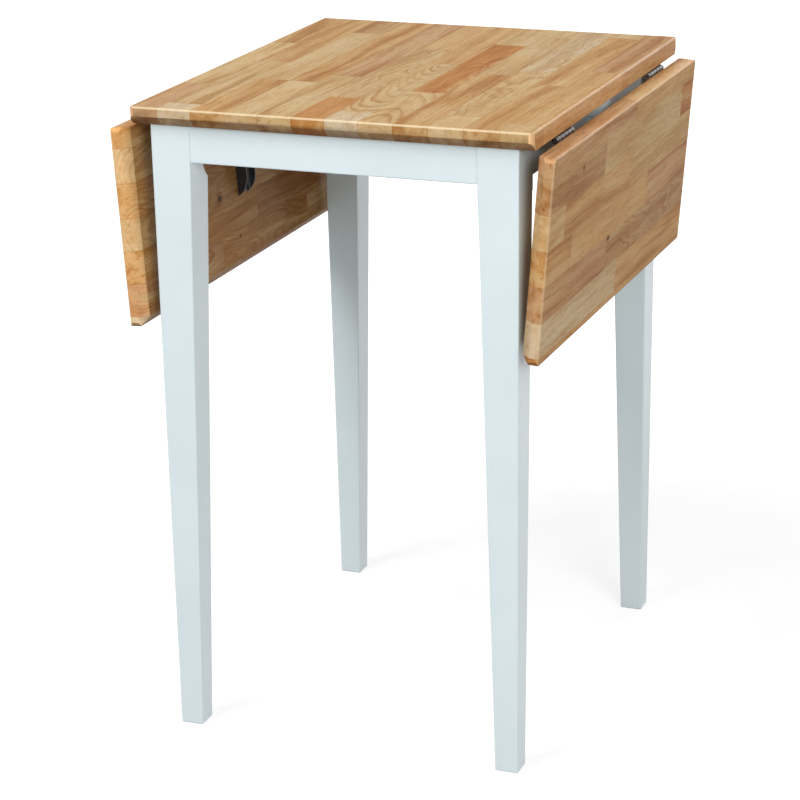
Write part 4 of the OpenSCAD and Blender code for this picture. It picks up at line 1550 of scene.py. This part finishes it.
@dataclass
class Studio:
    """Camera, lamps, sky and floor."""

    lens: float = 119.158
    sensor: float = 36.0
    clip: Pair = (0.05, 200.0)
    camera_place: Triple = (1.08393, -2.85563, 1.36169)
    yaw: float = -21.2885
    pitch: float = 18.4343
    roll: float = -0.9537
    sky: float = 0.42
    sky_tint: Colour = (1.0, 0.955, 0.965)
    floor_size: float = 60.0
    floor_height: float = -0.0002
    lamps: tuple[Lamp, ...] = (
        Lamp("key_lamp", (-1.7, -2.9, 4.4), 2.2, 150.0),
        Lamp("side_lamp", (3.0, -3.4, 2.0), 2.2, 90.0),
        Lamp("back_lamp", (0.6, 4.2, 1.6), 2.6, 92.0),
    )

    def camera(self) -> None:
        """Puts the camera where the photograph was taken from."""
        yaw, pitch, roll = (math.radians(a) for a in (self.yaw, self.pitch, self.roll))
        ahead = Vector((math.sin(yaw) * math.cos(pitch), math.cos(yaw) * math.cos(pitch), -math.sin(pitch)))
        level = Vector((math.cos(yaw), -math.sin(yaw), 0))
        above = level.cross(ahead)
        right = math.cos(roll) * level + math.sin(roll) * above
        up = -math.sin(roll) * level + math.cos(roll) * above
        data = bpy.data.cameras.new("photo_camera")
        data.lens, data.sensor_width = self.lens, self.sensor
        data.clip_start, data.clip_end = self.clip
        made = put("photo_camera", data)
        frame = Matrix((right, up, -ahead)).transposed().to_4x4()
        frame.translation = Vector(self.camera_place)
        made.matrix_world = frame
        bpy.context.scene.camera = made

    def light(self) -> None:
        """Lights the sky and the lamps."""
        world = bpy.data.worlds.new("studio_sky")
        world.use_nodes = True
        bpy.context.scene.world = world
        g = Graph(world.node_tree)
        tint = g.blend(g.seen(), tuple(c * self.sky for c in self.sky_tint), WHITE)
        back = g.node("ShaderNodeBackground", {"Color": tint, "Strength": 1.0})
        g.node("ShaderNodeOutputWorld", {"Surface": back.outputs[0]})
        for lamp in self.lamps:
            lamp.build()

    def floor(self) -> None:
        """Lays the floor."""
        half, z = self.floor_size / 2, self.floor_height
        mesh = bpy.data.meshes.new("studio_floor")
        mesh.from_pydata([(-half, -half, z), (half, -half, z), (half, half, z), (-half, half, z)], [],
                         [(0, 1, 2, 3)])
        mesh.materials.append(PaleFloor().make())
        made = put("studio_floor", mesh)

    def view(self) -> None:
        """Sets the plain view transform."""
        bpy.context.scene.view_settings.view_transform = "Standard"


def main() -> None:
    """Builds the table's looks round its solids, one sub-assembly after the other."""
    logging.basicConfig(level=logging.INFO, format="%(name)s: %(message)s")
    for leftover in list(bpy.data.objects):
        bpy.data.objects.remove(leftover)
    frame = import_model()
    studio = Studio()
    studio.camera()
    studio.view()
    studio.light()
    studio.floor()
    shop = Workshop(frame)
    Boards().build(shop)
    PaintedFrame().build(shop)
    Hinges().build(shop)
    LeafStays().build(shop)
    CornerJoints().build(shop)
    Fasteners().build(shop)


if __name__ == "__main__":
    main()
